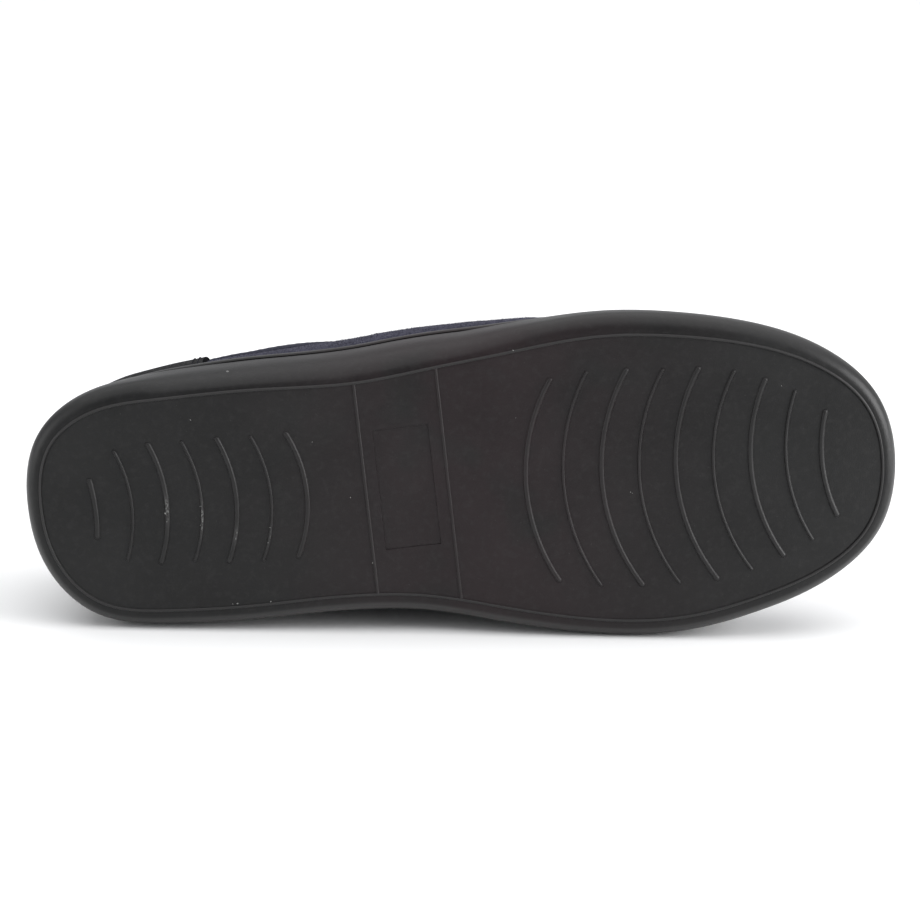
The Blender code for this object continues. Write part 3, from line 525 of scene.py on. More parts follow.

# %% [markdown]
# The upper is a brushed navy cloth. Its nap lies in soft patches that catch the light in their own way, so
# the colour wanders between two navies, with pale flecks painted where fibre ends stand up: painted glints.
# Sheen gives the pale bloom at grazing angles that every napped cloth has.

# %% Napped upper cloth
nap = Finish("upper_nap_navy", 0.95)
fine = nap.noise(0.55 * MM, 3.0, 0.75)
patches = nap.noise(16 * MM, 4.0, 0.6)
shade = nap.mixed(nap.ramp(patches, 0.38, 0.64), (0.0066, 0.0066, 0.0150), (0.0190, 0.0187, 0.0370))
tufted = nap.mixed(nap.ramp(nap.noise(1.3 * MM, 2.0, 0.7), 0.45, 0.63), shade, (0.041, 0.040, 0.058))
# Pale flecks are painted glints where fibre ends stand up.
fleck_glints = nap.ramp(fine, 0.52, 0.74)
nap.wire(nap.mixed(fleck_glints, tufted, (0.085, 0.082, 0.116)), "Base Color")
nap.fixed(Sheen_Weight=0.20, Sheen_Roughness=0.4, Sheen_Tint=(0.62, 0.62, 0.76, 1.0))
nap.fixed(Specular_IOR_Level=0.12)
nap.bumped([(nap.noise(0.8 * MM, 3.0, 0.75), 0.45 * MM), (nap.noise(5 * MM, 2.0), 0.6 * MM)])

print("nap:", len(nap.tree.nodes), "nodes")

# %% Single fibres of the nap
nap_hair = Finish("upper_nap_fibres", 1.0)
tips = nap_hair.noise(1.5 * MM, 3.0, 0.7)
# The pale fibres are painted glints.
fibre_glint_tone = nap_hair.mixed(nap_hair.ramp(tips, 0.45, 0.60), (0.008, 0.008, 0.016), (0.105, 0.103, 0.136))
nap_hair.wire(fibre_glint_tone, "Base Color")
nap_hair.fixed(Specular_IOR_Level=0.1)

# %% [markdown]
# The panel round the heel is a coated cloth with a fine pebble grain. A cell texture gives the pebbles:
# their edges are duller than their tops and stand lower, and are painted darker as painted shade. An
# embossed mesh would need far more faces than the eye can see at this distance.

# %% Heel panel
panel = Finish("heel_panel_charcoal", 0.55)
pebble = panel.cells(1.2 * MM)
tone = panel.mixed(panel.noise(20 * MM, 3.0), (0.0090, 0.0090, 0.0096), (0.0165, 0.0165, 0.0175))
# Painted shade in the low edges of the pebbles.
tone = panel.mixed(panel.ramp(pebble["Distance"], 0.35, 0.75, 0.0, 0.5), tone, (0.0025, 0.0025, 0.003))
panel.wire(tone, "Base Color")
panel.wire(panel.ramp(pebble["Distance"], 0.2, 0.8, 0.62, 0.82), "Roughness")
panel.fixed(Specular_IOR_Level=0.10)
panel.bumped([(pebble["Distance"], 0.12 * MM), (panel.noise(0.4 * MM, 2.0), 0.04 * MM)])

# %% [markdown]
# The collar is bound in a flat woven cloth, and the shoe is lined with a looped pile. Both are patterns of
# a fraction of a millimetre, so colour and bump share one pattern: a pile's loops are painted pale on top
# and dark between, as painted shade.

# %% Binding cloth and lining pile
binding_cloth = Finish("binding_cloth_navy", 0.9)
weave = binding_cloth.noise(0.45 * MM, 2.0, 0.6)
tone = binding_cloth.mixed(weave, (0.007, 0.0075, 0.018), (0.024, 0.0245, 0.045))
binding_cloth.wire(tone, "Base Color")
binding_cloth.fixed(Sheen_Weight=0.12, Sheen_Roughness=0.5)
binding_cloth.bumped([(weave, 0.2 * MM)])

pile = Finish("lining_pile_grey", 1.0)
tufts = pile.cells(1.6 * MM)
# Painted shade between the loops, their tops pale.
tone = pile.mixed(pile.ramp(tufts["Distance"], 0.1, 0.8), (0.20, 0.20, 0.22), (0.085, 0.085, 0.10))
pile.wire(tone, "Base Color")
pile.fixed(Sheen_Weight=0.5, Sheen_Roughness=0.6)
loops = pile.combined("SUBTRACT", 1.0, tufts["Distance"])
pile.bumped([(loops, 0.7 * MM), (pile.noise(0.5 * MM, 3.0, 0.7), 0.3 * MM)])

# %% [markdown]
# Thread and welt are nearly black and have almost no gloss: what the eye sees of them is the shadow that
# they make in the cloth. The welt's near-black is also painted shade, the dark of the notch along the heel
# panel's front edge.

# %% Thread and welt
thread = Finish("thread_dark", 0.7)
twist = thread.noise(0.3 * MM, 2.0)
thread.wire(thread.mixed(twist, (0.003, 0.003, 0.005), (0.012, 0.012, 0.018)), "Base Color")
thread.fixed(Specular_IOR_Level=0.12)
thread.bumped([(twist, 0.1 * MM)])

welt_shade_finish = Finish("welt_painted_shade", 0.95)
# Near black: painted shade of the notch along the heel panel's front edge.
welt_shade_tone = welt_shade_finish.mixed(welt_shade_finish.noise(0.5 * MM), (0.0015, 0.0015, 0.002), (0.004, 0.004, 0.005))
welt_shade_finish.wire(welt_shade_tone, "Base Color")
welt_shade_finish.fixed(Specular_IOR_Level=0.03)
print(len(bpy.data.materials), "finishes so far")

# %% [markdown]
# ## The sole
#
# The tread panel is a grid stretched over the bead. Its rim is then pulled outward over the
# bead, round the roll, up the side wall, into the groove, over the lip and down into the cup
# that holds the upper. Pulling one rim keeps the whole mould one clean skin.

# %% Side of the sole, as pulls of the rim
ROLL_TURNS = 12
WALL_STEPS = 8
BEAD_PULLS = 8
GROOVE_START = BEAD_PULLS + ROLL_TURNS + WALL_STEPS + 1
GROOVE_FACES = slice(GROOVE_START, GROOVE_START + 3)


def outer_share(station):
    """One on the outer side of the shoe, nought on the inner, eased round the ends."""
    return min(max(0.5 - station.out[1], 0.0), 1.0)


def side_steps(station):
    """How far outside the bead, and how high, each pull of the rim ends."""
    panel_rise = station.ground + RIB_HEIGHT
    crown = station.ground + 0.15 * MM
    steps = [(-0.50, panel_rise), (-0.42, crown + 0.30 * MM), (-0.30, crown + 0.07 * MM), (-0.12, crown)]
    steps += [(0.14, crown), (0.34, crown + 0.07 * MM), (0.48, crown + 0.30 * MM), (0.58, panel_rise)]
    steps = [(out * MM, rise) for out, rise in steps]
    foot = steps[-1][0]
    low = station.wall - LIP_HEIGHT
    flare = min(max((station.top / station.roll - 0.80) / 0.3, 0.0), 1.0) * outer_share(station)
    start = station.ground + ROLL_RISE + (low - station.ground - ROLL_RISE - 1.5 * MM) * 0.8 * flare
    crest = station.roll + (max(station.top - 0.5 * MM, station.roll) - station.roll) * flare
    for i in range(1, ROLL_TURNS + 1):
        angle = math.pi / 2 * i / ROLL_TURNS
        out = foot + (crest - foot) * math.sin(angle) ** (1 + 0.10 * flare)
        steps.append((out, panel_rise + (start - panel_rise) * (1 - math.cos(angle))))

    def lean(rise):
        share = (rise - start) / (station.wall - start)
        return crest + (station.top - 0.25 * MM * flare - crest) * share * share

    for i in range(1, WALL_STEPS + 1):
        rise = start + (low - 0.25 * MM - start) * i / WALL_STEPS
        steps.append((lean(rise), rise))
    edge, deep, high = lean(low), lean(low) - GROOVE_DEPTH, low + GROOVE_WIDTH
    steps += [(edge - 0.20 * MM, low), (deep, low + 0.25 * MM), (deep, high - 0.20 * MM)]
    lip = station.top
    steps += [(lip - 0.55 * MM, high), (lip - 0.18 * MM, high + 0.18 * MM), (lip, high + 0.55 * MM)]
    steps += [(lip, station.wall - 0.75 * MM), (lip - 0.12 * MM, station.wall - 0.4 * MM)]
    steps += [(lip - 0.40 * MM, station.wall - 0.12 * MM), (lip - 0.80 * MM, station.wall)]
    steps += [(station.cup, station.wall), (station.cup, station.floor)]
    return steps


profiles = [side_steps(station) for station in stations]
print("pulls of the rim:", len(profiles[0]))

# %% A panel across the shoe, its rim marked with the stations
HALF = STATIONS // 2
CROSS_ROWS = 48
PANEL_INSET = 0.6 * MM


def panel_place(column, row):
    """A place on the tread panel, by the two stations that its column joins."""
    one, other = stations[-column % STATIONS], stations[column % STATIONS]
    ends = [s.point - s.out * PANEL_INSET for s in (one, other)]
    x, y = ends[0] * (1 - row / CROSS_ROWS) + ends[1] * row / CROSS_ROWS
    return Vector((x, y, tread(x) + RIB_HEIGHT))


def marked_rim(bm, places):
    """Marks each rim vertex with its nearest station, and gives the rim's edges."""
    bmesh.ops.remove_doubles(bm, verts=bm.verts, dist=MERGE / 2)
    marks = bm.verts.layers.int.new("station")
    rim = [edge for edge in bm.edges if edge.is_boundary]
    for vert in {vert for edge in rim for vert in edge.verts}:
        vert[marks] = int(np.argmin(((places - np.array(vert.co.xy)) ** 2).sum(axis=1)))
    return rim, marks


# %% The whole mould


def build_sole():
    """The tread panel on a grid, and everything else pulled out of its rim."""
    bm = shaped_grid(HALF, CROSS_ROWS, panel_place)
    rim, marks = marked_rim(bm, np.array([s.point - s.out * PANEL_INSET for s in stations]))
    moves = []
    for step in range(len(profiles[0])):
        moves.append(lambda i, step=step: stations[i].beyond(*profiles[i][step]))
    rim = pulled(bm, rim, moves[: GROOVE_FACES.start], marks)
    below = set(bm.faces)
    rim = pulled(bm, rim, moves[GROOVE_FACES], marks)
    # The groove's faces take the second finish, the painted shade.
    for face in set(bm.faces) - below:
        face.material_index = 1
    below = set(bm.faces)
    top = pulled(bm, rim, moves[GROOVE_FACES.stop :], marks)
    for face in set(bm.faces) - below:
        face.material_index = 0
    bmesh.ops.triangle_fill(bm, use_beauty=True, use_dissolve=False, edges=top)
    return bm


sole_mesh = build_sole()
print("sole:", len(sole_mesh.faces), "faces")

# %% [markdown]
# The waist holds a shallow plain recess between two raised lines. Its four edges are cut into
# the panel with bisecting planes, and the faces inside are inset by a hair and pushed in. A
# boolean could cut it too, but would leave long thin faces on the open tread.

# %% Plate recess
WAIST_LINES = (0.390 * SOLE_LENGTH, 0.485 * SOLE_LENGTH)
WAIST_SKEW = math.radians(4.2)
PLATE = {"length": 19 * MM, "width": 42 * MM, "depth": 0.4 * MM, "offset": 1.5 * MM}
PANEL_TOP = 4 * MM
PLATE_REACH = 25 * MM


def sink_plate(bm):
    """Cuts the plate's edges into the panel and pushes in what lies between."""
    centre = Vector((sum(WAIST_LINES) / 2, PLATE["offset"], 0))
    square = Matrix.Rotation(-WAIST_SKEW, 3, "Z")
    reach = {0: PLATE["length"] / 2, 1: PLATE["width"] / 2}
    for axis, half in reach.items():
        for side in (-1, 1):
            way = square @ Vector((side if axis == 0 else 0, side if axis == 1 else 0, 0))
            near = [f for f in bm.faces if f.normal.z < -0.5 or f.normal.z > 0.5]
            near = [f for f in near if f.calc_center_median().z < PANEL_TOP]
            near = [f for f in near if abs(f.calc_center_median().x - centre.x) < PLATE_REACH]
            parts = near + list({e for f in near for e in f.edges})
            parts += list({v for f in near for v in f.verts})
            edge = centre + way * half
            bmesh.ops.bisect_plane(bm, geom=parts, dist=MERGE / 10, plane_co=edge, plane_no=way)
    inside = []
    for face in bm.faces:
        middle = face.calc_center_median()
        offset = square.transposed() @ (middle - centre)
        if abs(offset.x) < reach[0] and abs(offset.y) < reach[1] and middle.z < PANEL_TOP:
            inside.append(face)
    bmesh.ops.inset_region(bm, faces=inside, thickness=0.12 * MM, depth=0.0, use_even_offset=True)
    verts = {vert for face in inside for vert in face.verts}
    bmesh.ops.translate(bm, vec=(0, 0, PLATE["depth"]), verts=list(verts))
    return len(inside)


print("plate faces:", sink_plate(sole_mesh))

# %% [markdown]
# The ribs of the tread are arcs with round ends. One cross-section is spun round the arc's
# centre for the length of the rib, and half of it is spun round each end for the cap. Wide and
# thin ribs take turns. They are sunk a little into the panel and follow its spring.

# %% Tables of the ribs
RIB_WIDTHS = (1.75 * MM, 1.15 * MM)
WAIST_LINE_SIZE = (0.55 * MM, 0.6)
RIB_SECTION = ((1.12, -0.5), (1.10, 0.0), (0.95, 0.30), (0.76, 0.66), (0.50, 0.92), (0.0, 1.02))
HEEL_RIBS = {
    "at": (0.080, 0.122, 0.162, 0.202, 0.242, 0.282, 0.323),
    "middle": (0.046, 0.037, 0.034, 0.030, 0.031, 0.028, 0.021),
    "span": (0.176, 0.338, 0.366, 0.368, 0.381, 0.384, 0.381),
    "bow": (0.035, 0.098, 0.100, 0.108, 0.108, 0.112, 0.117),
    "skew": (4.9, 4.2, 3.6, 3.8, 3.2, 3.4, 3.5),
}
FORE_RIBS = {
    "at": (0.574, 0.617, 0.661, 0.704, 0.746, 0.789, 0.832, 0.873, 0.914),
    "middle": (0.007, 0.009, 0.010, 0.010, 0.007, 0.001, -0.003, -0.006, -0.009),
    "span": (0.621, 0.661, 0.666, 0.660, 0.652, 0.616, 0.547, 0.463, 0.322),
    "bow": (0.139, 0.138, 0.147, 0.144, 0.146, 0.143, 0.127, 0.111, 0.083),
    "skew": (0.9, 2.3, 2.7, 3.0, 3.7, 3.8, 4.7, 5.6, 5.4),
}


# %% One rib


def chain(bm, points):
    """A row of vertices joined by edges."""
    verts = [bm.verts.new(point) for point in points]
    edges = [bm.edges.new(pair) for pair in zip(verts, verts[1:])]
    return verts + edges


def rib(span, radius, width):
    """One arc rib, its middle at (radius, 0) and its depth along +Z."""
    bm = bmesh.new()
    half = math.asin(span / 2 / radius)
    for end in (-1, 1):
        bar_way = Matrix.Rotation(end * half, 4, "Z")
        tip = bar_way @ Vector((radius, 0, 0))
        section = [(out * width / 2, up * RIB_HEIGHT) for out, up in RIB_SECTION]
        side = [bar_way @ Vector((radius + out, 0, up)) for out, up in section]
        cap, turned = chain(bm, side), end * math.pi
        bmesh.ops.spin(bm, geom=cap, cent=tip, axis=(0, 0, 1), angle=turned, steps=10, use_merge=False)
        if end == -1:
            other = [bar_way @ Vector((radius - out, 0, up)) for out, up in section]
            body = chain(bm, side) + chain(bm, other)
            bmesh.ops.spin(bm, geom=body, cent=(0, 0, 0), axis=(0, 0, 1), angle=half * 2, steps=36)
    bmesh.ops.remove_doubles(bm, verts=bm.verts, dist=MERGE)
    under = [edge for edge in bm.edges if edge.is_boundary]
    bmesh.ops.edgeloop_fill(bm, edges=under)
    return bm


# %% All the ribs


def add_mesh(bm, other):
    """Joins another bmesh into the first."""
    spare = bpy.data.meshes.new("spare")
    other.to_mesh(spare)
    other.free()
    bm.from_mesh(spare)
    bpy.data.meshes.remove(spare)


def set_on_tread(bm):
    """Turns depth along +Z into height over the tread's own curve."""
    for vert in bm.verts:
        vert.co.z = tread(vert.co.x) + RIB_HEIGHT - vert.co.z


def build_ribs():
    """Both sets of ribs, the arcs of the heel and of the forefoot back to back."""
    whole = bmesh.new()
    for rows, facing_way in ((HEEL_RIBS, 0.0), (FORE_RIBS, math.pi)):
        for i, at in enumerate(rows["at"]):
            span = rows["span"][i] * BALL_WIDTH
            bow = rows["bow"][i] * span
            radius = bow / 2 + span * span / 8 / bow
            one = rib(span, radius, RIB_WIDTHS[i % 2])
            way = Matrix.Rotation(facing_way - math.radians(rows["skew"][i]), 4, "Z")
            spot = Matrix.Translation((at * SOLE_LENGTH, rows["middle"][i] * BALL_WIDTH, 0))
            centred = Matrix.Translation((-radius, 0, 0))
            bmesh.ops.transform(one, matrix=spot @ way @ centred, verts=one.verts)
            set_on_tread(one)
            add_mesh(whole, one)
    return whole


ribs_mesh = build_ribs()
print("ribs:", len(HEEL_RIBS["at"]) + len(FORE_RIBS["at"]))

# %% [markdown]
# The two waist lines are straight, so they are not spun: half a rib's section is mirrored, set
# down on the bead and extruded across to the other side in small steps, which lets the line
# follow the arch of the tread.

# %% Waist lines
WAIST_STEPS = 40


def waist_bar(x):
    """A straight raised line across the waist, from bead to bead."""
    ends = []
    for side in (outer_side, inner_side):
        reach = crossing(side, x)[0][1]
        ends.append(Vector((*crossing(side, x + reach * math.tan(WAIST_SKEW))[0], 0)))
    way = (ends[1] - ends[0]) / WAIST_STEPS
    across = Vector((-way.y, way.x, 0)).normalized()
    bm = bmesh.new()
    wide, tall = WAIST_LINE_SIZE
    section = [(out * wide, up * tall) for out, up in RIB_SECTION]
    points = [ends[0] + across * out + Vector((0, 0, up * RIB_HEIGHT)) for out, up in section]
    points += [ends[0] - across * out + Vector((0, 0, up * RIB_HEIGHT)) for out, up in section[-2::-1]]
    edges = [part for part in chain(bm, points) if isinstance(part, bmesh.types.BMEdge)]
    for _ in range(WAIST_STEPS):
        grown = bmesh.ops.extrude_edge_only(bm, edges=edges)["geom"]
        edges = [part for part in grown if isinstance(part, bmesh.types.BMEdge)]
        edges = [edge for edge in edges if edge.is_boundary and len(edge.link_faces) == 1]
        verts = list({part for part in grown if isinstance(part, bmesh.types.BMVert)})
        edges = [edge for edge in edges if all(vert in verts for vert in edge.verts)]
        bmesh.ops.translate(bm, vec=way, verts=verts)
    bmesh.ops.holes_fill(bm, edges=bm.edges, sides=0)
    set_on_tread(bm)
    return bm


for x in WAIST_LINES:
    add_mesh(ribs_mesh, waist_bar(x))
add_mesh(sole_mesh, ribs_mesh)

# %% [markdown]
# Wear and light are painted by height: the bead gets a painted highlight, the ribs some wear, the panel
# none, and the side wall painted light, more the higher it stands and less at the outer heel. The inner
# side wall, which faces the floor, gets painted bounce light as well. A few listed spots get the most wear,
# where the crest of a rib has been scraped nearly white.

# %% Painted wear, painted light and warmth
BEAD_HIGHLIGHT = 0.95
RIB_WEAR = 0.30
WALL_LIGHT = 0.95
OUTER_HEEL_WALL_LIGHT = 0.15
WALL_FLOOR_BOUNCE = 0.36
SIDE_EASE = 20 * MM
WARM_MIDDLE = 0.52 * SOLE_LENGTH
WARM_REACH = 58 * MM
SCRAPES = (
    {"x": 47.3, "y": 6.0, "reach": 5.0, "amount": 1.1},
    {"x": 59.8, "y": 9.5, "reach": 6.0, "amount": 1.2},
    {"x": 71.9, "y": 16.0, "reach": 2.5, "amount": 1.1},
    {"x": 84.5, "y": 16.5, "reach": 3.5, "amount": 0.8},
    {"x": 205.0, "y": 4.0, "reach": 3.0, "amount": 0.8},
    {"x": 214.0, "y": 9.0, "reach": 4.0, "amount": 0.7},
)


def clamped(value):
    return min(max(value, 0.0), 1.0)


def scraping(x, y):
    """How hard the listed spots are scraped at a place, in millimetres."""
    total = 0.0
    for row in SCRAPES:
        away = ((x - row["x"]) ** 2 + (y - row["y"]) ** 2) / row["reach"] ** 2
        total += row["amount"] * math.exp(-away)
    return total


wear_and_light_layer = sole_mesh.verts.layers.float.new("wear_and_light")
warmth_layer = sole_mesh.verts.layers.float.new("warmth")
floor_bounce_layer = sole_mesh.verts.layers.float.new("painted_floor_bounce")
for vert in sole_mesh.verts:
    x, y, z = vert.co
    rise = (z - tread(x)) / MM
    on_bead, on_rib, on_crest = 0.12 < rise < 0.225, rise < 0.45, rise < 0.1
    # The bead gets a painted highlight, the ribs wear and scrapes, and the side wall painted light that
    # grows as it climbs, less at the outer heel.
    if on_bead:
        vert[wear_and_light_layer] = BEAD_HIGHLIGHT
    elif on_rib:
        vert[wear_and_light_layer] = RIB_WEAR + (scraping(x / MM, y / MM) * 1.5 if on_crest else 0.0)
    else:
        outer_heel = clamped(-y / SIDE_EASE) * clamped(7.2 - 12 * x / SOLE_LENGTH)
        climb = clamped((rise - 1.0 - 8.5 * outer_heel) / (5.0 + 7.0 * outer_heel))
        vert[wear_and_light_layer] = climb * (WALL_LIGHT + (OUTER_HEEL_WALL_LIGHT - WALL_LIGHT) * outer_heel)
        # Painted bounce light from the floor on the inner side wall.
        vert[floor_bounce_layer] = WALL_FLOOR_BOUNCE * clamped(y / SIDE_EASE) * clamped((rise - 1.1) / 0.5)
    vert[warmth_layer] = math.exp(-(((x - WARM_MIDDLE) / WARM_REACH) ** 2))
sole = laid_piece("moulded_sole", sole_mesh, [rubber.material, groove_shade.material])
sole.data.set_sharp_from_angle(angle=math.radians(48))
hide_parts("outsole")

# %% [markdown]
# ## The upper
#
# The upper is a skin over the last. Each station sends a line up from the lip, over the side and in to the
# ridge of the foot, and the collar cuts the lines behind the throat. Soft relief is added as well: puckers
# where the sides are gathered to the apron, creases where the foot bends, and the slow waves that any soft
# cloth has.

# %% Heights along the shoe
HIDDEN_LEVELS = 6
WALL_LEVELS = 26
TOP_LEVELS = 24
LEVELS = HIDDEN_LEVELS + WALL_LEVELS + TOP_LEVELS
SEAM_LEVEL = HIDDEN_LEVELS + WALL_LEVELS - 1
INWARD_ROUNDNESS = 2.25
UPWARD_ROUNDNESS = 1.95


def spine_y(x):
    """Sideways place of the ridge: halfway between the two sides of the bead."""
    half = [(inner - outer) / 2 for inner, outer in zip(BEAD["inner"], BEAD["outer"])]
    return eased(BEAD["at"], half, x / SOLE_LENGTH) * BALL_WIDTH


def ridge_height(x):
    """Height of the last's ridge, falling from the ankle over the throat to the toe."""
    heel, toe = HEEL_SPINE * SOLE_LENGTH, TOE_SPINE * SOLE_LENGTH
    if x >= THROAT_LENGTH:
        way = (x - THROAT_LENGTH) / (toe - THROAT_LENGTH)
        fall = eased(VAMP_FALL["way"], VAMP_FALL["share"], way)
        return THROAT_HEIGHT + (TOE_HEIGHT - THROAT_HEIGHT) * fall
    way = (THROAT_LENGTH - x) / (THROAT_LENGTH - heel)
    return THROAT_HEIGHT + (LAST_HEIGHT - THROAT_HEIGHT) * (1 - (1 - way) ** 2)


def collar_height(x):
    stops = (0.0, 0.124 * THROAT_LENGTH, 0.62 * THROAT_LENGTH, THROAT_LENGTH)
    return eased(stops, (HEEL_BACK_HEIGHT, HEEL_BACK_HEIGHT, ANKLE_HEIGHT, THROAT_HEIGHT), x)


def seam_share(x):
    """How far up the side the apron's seam runs: highest where the apron begins."""
    apron_end = THROAT_LENGTH - APRON_BACK
    stops = (0.0, apron_end - APRON_BACK, apron_end, THROAT_LENGTH + APRON_BACK, SOLE_LENGTH)
    return eased(stops, (0.56, 0.56, 0.80, 0.56, 0.56), x)


# %% The last as a table of points


def last_line(station):
    """Points of one line from the cup floor to the collar or the ridge."""
    spine_x = min(max(station.x, HEEL_SPINE * SOLE_LENGTH), TOE_SPINE * SOLE_LENGTH)
    spine = np.array([spine_x, spine_y(spine_x)])
    foot = station.point + station.out * (station.cup - GAP)
    ridge = ridge_height(spine_x)
    base = station.wall
    swell = station.side_value(SWELL) * UPPER_WALL

    def point(turn):
        if turn <= 0:
            return np.array([*foot, base + (base - station.floor - GAP) * turn])
        angle = min(turn, 1.0) * math.pi / 2
        inward = 1 - max(math.cos(angle), 0.0) ** (2 / INWARD_ROUNDNESS)
        up = math.sin(angle) ** (2 / UPWARD_ROUNDNESS)
        fullness = math.sin(math.pi * min(up * 1.15, 1.0)) ** 1.2
        x, y = foot + (spine - foot) * inward + station.out * swell * fullness
        return np.array([x, y, base + (ridge - base) * up])

    def turn_at(height):
        up = min(max((height - base) / (ridge - base), 0.0), 1.0)
        return math.asin(up ** (UPWARD_ROUNDNESS / 2)) / (math.pi / 2)

    clear = turn_at(base + 1.0 * MM)
    top = turn_at(min(collar_height(station.x), ridge)) if spine_x < THROAT_LENGTH else 1.0
    seam = clear + (top - clear) * seam_share(spine_x)
    turns = [-1.0, -0.6, -0.25, -0.06, clear * 0.5, clear]
    turns += [clear + (seam - clear) * i / WALL_LEVELS for i in range(1, WALL_LEVELS + 1)]
    turns += [seam + (top - seam) * i / TOP_LEVELS for i in range(1, TOP_LEVELS + 1)]
    return [point(turn) for turn in turns]


last = np.array([last_line(station) for station in stations])
print("last table:", last.shape)

# %% [markdown]
# Relief and thickness are both laid on along the skin's normal, so every point of the table
# needs one. They come from the run of its neighbours round the shoe and up it. Where the two
# halves meet on the ridge, and where all the lines of the toe meet, the points share one normal,
# or the relief would open a crease there.

# %% Which way the skin faces


def facing(points):
    """Outward normals of a closed table of points."""
    round_way = np.roll(points, -1, axis=0) - np.roll(points, 1, axis=0)
    up_way = np.gradient(points, axis=1)
    normals = np.cross(round_way, up_way)
    length = np.linalg.norm(normals, axis=2, keepdims=True)
    normals = normals / np.maximum(length, 1e-9)
    middle = points.mean(axis=(0, 1))
    if ((points - middle) * normals).sum() < 0:
        normals = -normals
    short = length[..., 0] < 1e-9
    normals[short] = (0, 0, 1)
    return normals


def joined_at_ridge(normals):
    """Gives both halves, and all of the toe's fan, one normal where they meet."""
    toe = [i for i in range(STATIONS) if stations[i].x >= TOE_SPINE * SOLE_LENGTH]
    groups = [toe] + [[i, -i % STATIONS] for i in range(1, HALF + 1) if THROAT_LENGTH <= stations[i].x]
    for group in groups[1:] + groups[:1]:
        shared = normals[group, -1].sum(axis=0)
        normals[group, -1] = shared / np.linalg.norm(shared)
    return normals


normals = joined_at_ridge(facing(last))
seam_run = np.linalg.norm(np.diff(last[:, SEAM_LEVEL], axis=0, append=last[:1, SEAM_LEVEL]), axis=1)
seam_at = np.concatenate([[0.0], np.cumsum(seam_run)[:-1]])
print("apron seam, all round:", round(float(seam_run.sum()) * 1000), "mm")

# %% [markdown]
# A brushed cloth never lies flat. Low waves run all over it, the sides are puckered where they
# are gathered to the apron, and the vamp creases where the toes bend. All are worked out from
# named pitches and depths, because a cloth simulation would move the seams away from the frame.

# %% Relief of the soft upper
PUCKER_PITCH = 7.5 * MM
CREASES = (
    {"x": 176 * MM, "lean": 0.10, "width": 5.0 * MM, "depth": 0.9 * MM},
    {"x": 191 * MM, "lean": -0.06, "width": 6.0 * MM, "depth": 1.2 * MM},
    {"x": 208 * MM, "lean": 0.05, "width": 5.5 * MM, "depth": 0.8 * MM},
)


def swell_and_fold(i, level):
    """How far the skin stands out of the last at a station and level."""
    x, y, z = last[i, level]
    waves = noise.noise(Vector((x, y, z)) / (26 * MM)) * 0.5 * MM
    waves += noise.noise(Vector((x, y, z)) / (9 * MM)) * 0.18 * MM
    free = min(max((level - 5) / 6, 0.0), 1.0)
    away = (SEAM_LEVEL - level) / WALL_LEVELS
    gather = 0.0
    if 0 <= away <= 1 and stations[i].x > THROAT_LENGTH - APRON_BACK:
        strength = min((stations[i].x - THROAT_LENGTH + APRON_BACK) / (50 * MM), 1.0)
        fold = 0.5 + 0.5 * math.cos(2 * math.pi * seam_at[i] / PUCKER_PITCH)
        gather = strength * fold**1.5 * (1.5 * MM) * math.exp(-(((away - 0.16) / 0.22) ** 2))
    crease = 0.0
    for fold in CREASES:
        reach = (x - fold["x"] - fold["lean"] * abs(y)) / fold["width"]
        height = min(max((level - 10) / 20, 0.0), 1.0)
        crease -= fold["depth"] * math.exp(-reach * reach) * height
        crease += 0.45 * fold["depth"] * math.exp(-((abs(reach) - 1.6) ** 2) * 2.2) * height
    return (waves + gather + crease) * free


relief = np.array([[swell_and_fold(i, level) for level in range(LEVELS)] for i in range(STATIONS)])
skin = last + normals * relief[..., None]
skin_normals = joined_at_ridge(facing(skin))
print("relief from", round(relief.min() * 1000, 2), "to", round(relief.max() * 1000, 2), "mm")

# %% [markdown]
# The upper is one sheet of two layers, nap outside and pile inside. A grid is set on the skin
# and a Solidify modifier gives it its wall inward. Even offset stays off: at the thin faces of
# the toe it would shoot out spikes.

# %% Upper wall


def skin_place(first, low, offset):
    """Where a column and row of a grid lie on the skin, pushed out by an offset."""

    def place(column, row):
        i, level = (first + column) % STATIONS, low + row
        return Vector(skin[i, level] + skin_normals[i, level] * offset)

    return place


def walled(piece, thickness, inner_slot):
    """Gives a sheet its wall, towards the foot."""
    wall = piece.modifiers.new("wall", "SOLIDIFY")
    wall.thickness = thickness
    wall.offset = -1
    wall.use_even_offset = False
    wall.material_offset = inner_slot
    wall.material_offset_rim = inner_slot


def face_away(bm):
    """Turns an open sheet's faces away from the inside of the shoe."""
    bmesh.ops.remove_doubles(bm, verts=bm.verts, dist=MERGE)
    bmesh.ops.recalc_face_normals(bm, faces=bm.faces)
    inside = Vector((SOLE_LENGTH / 2, 0, WALL_HEIGHT))
    if sum((f.calc_center_median() - inside).dot(f.normal) * f.calc_area() for f in bm.faces) < 0:
        bmesh.ops.reverse_faces(bm, faces=bm.faces)
    return bm


upper_mesh = face_away(shaped_grid(STATIONS, LEVELS - 1, skin_place(0, 0, 0.0)))
upper = laid_piece("napped_upper", upper_mesh, [nap.material, pile.material], outward=False)
walled(upper, UPPER_WALL, 1)
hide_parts("upper")

# %% [markdown]
# The apron is the plug of cloth on top of the foot, and the heel panel is a stiff piece wrapped
# round the back. Both lie on the upper and follow it exactly, so both are cut from the same
# table of the skin: the same grid, fewer columns and rows, pushed out by their own thickness.

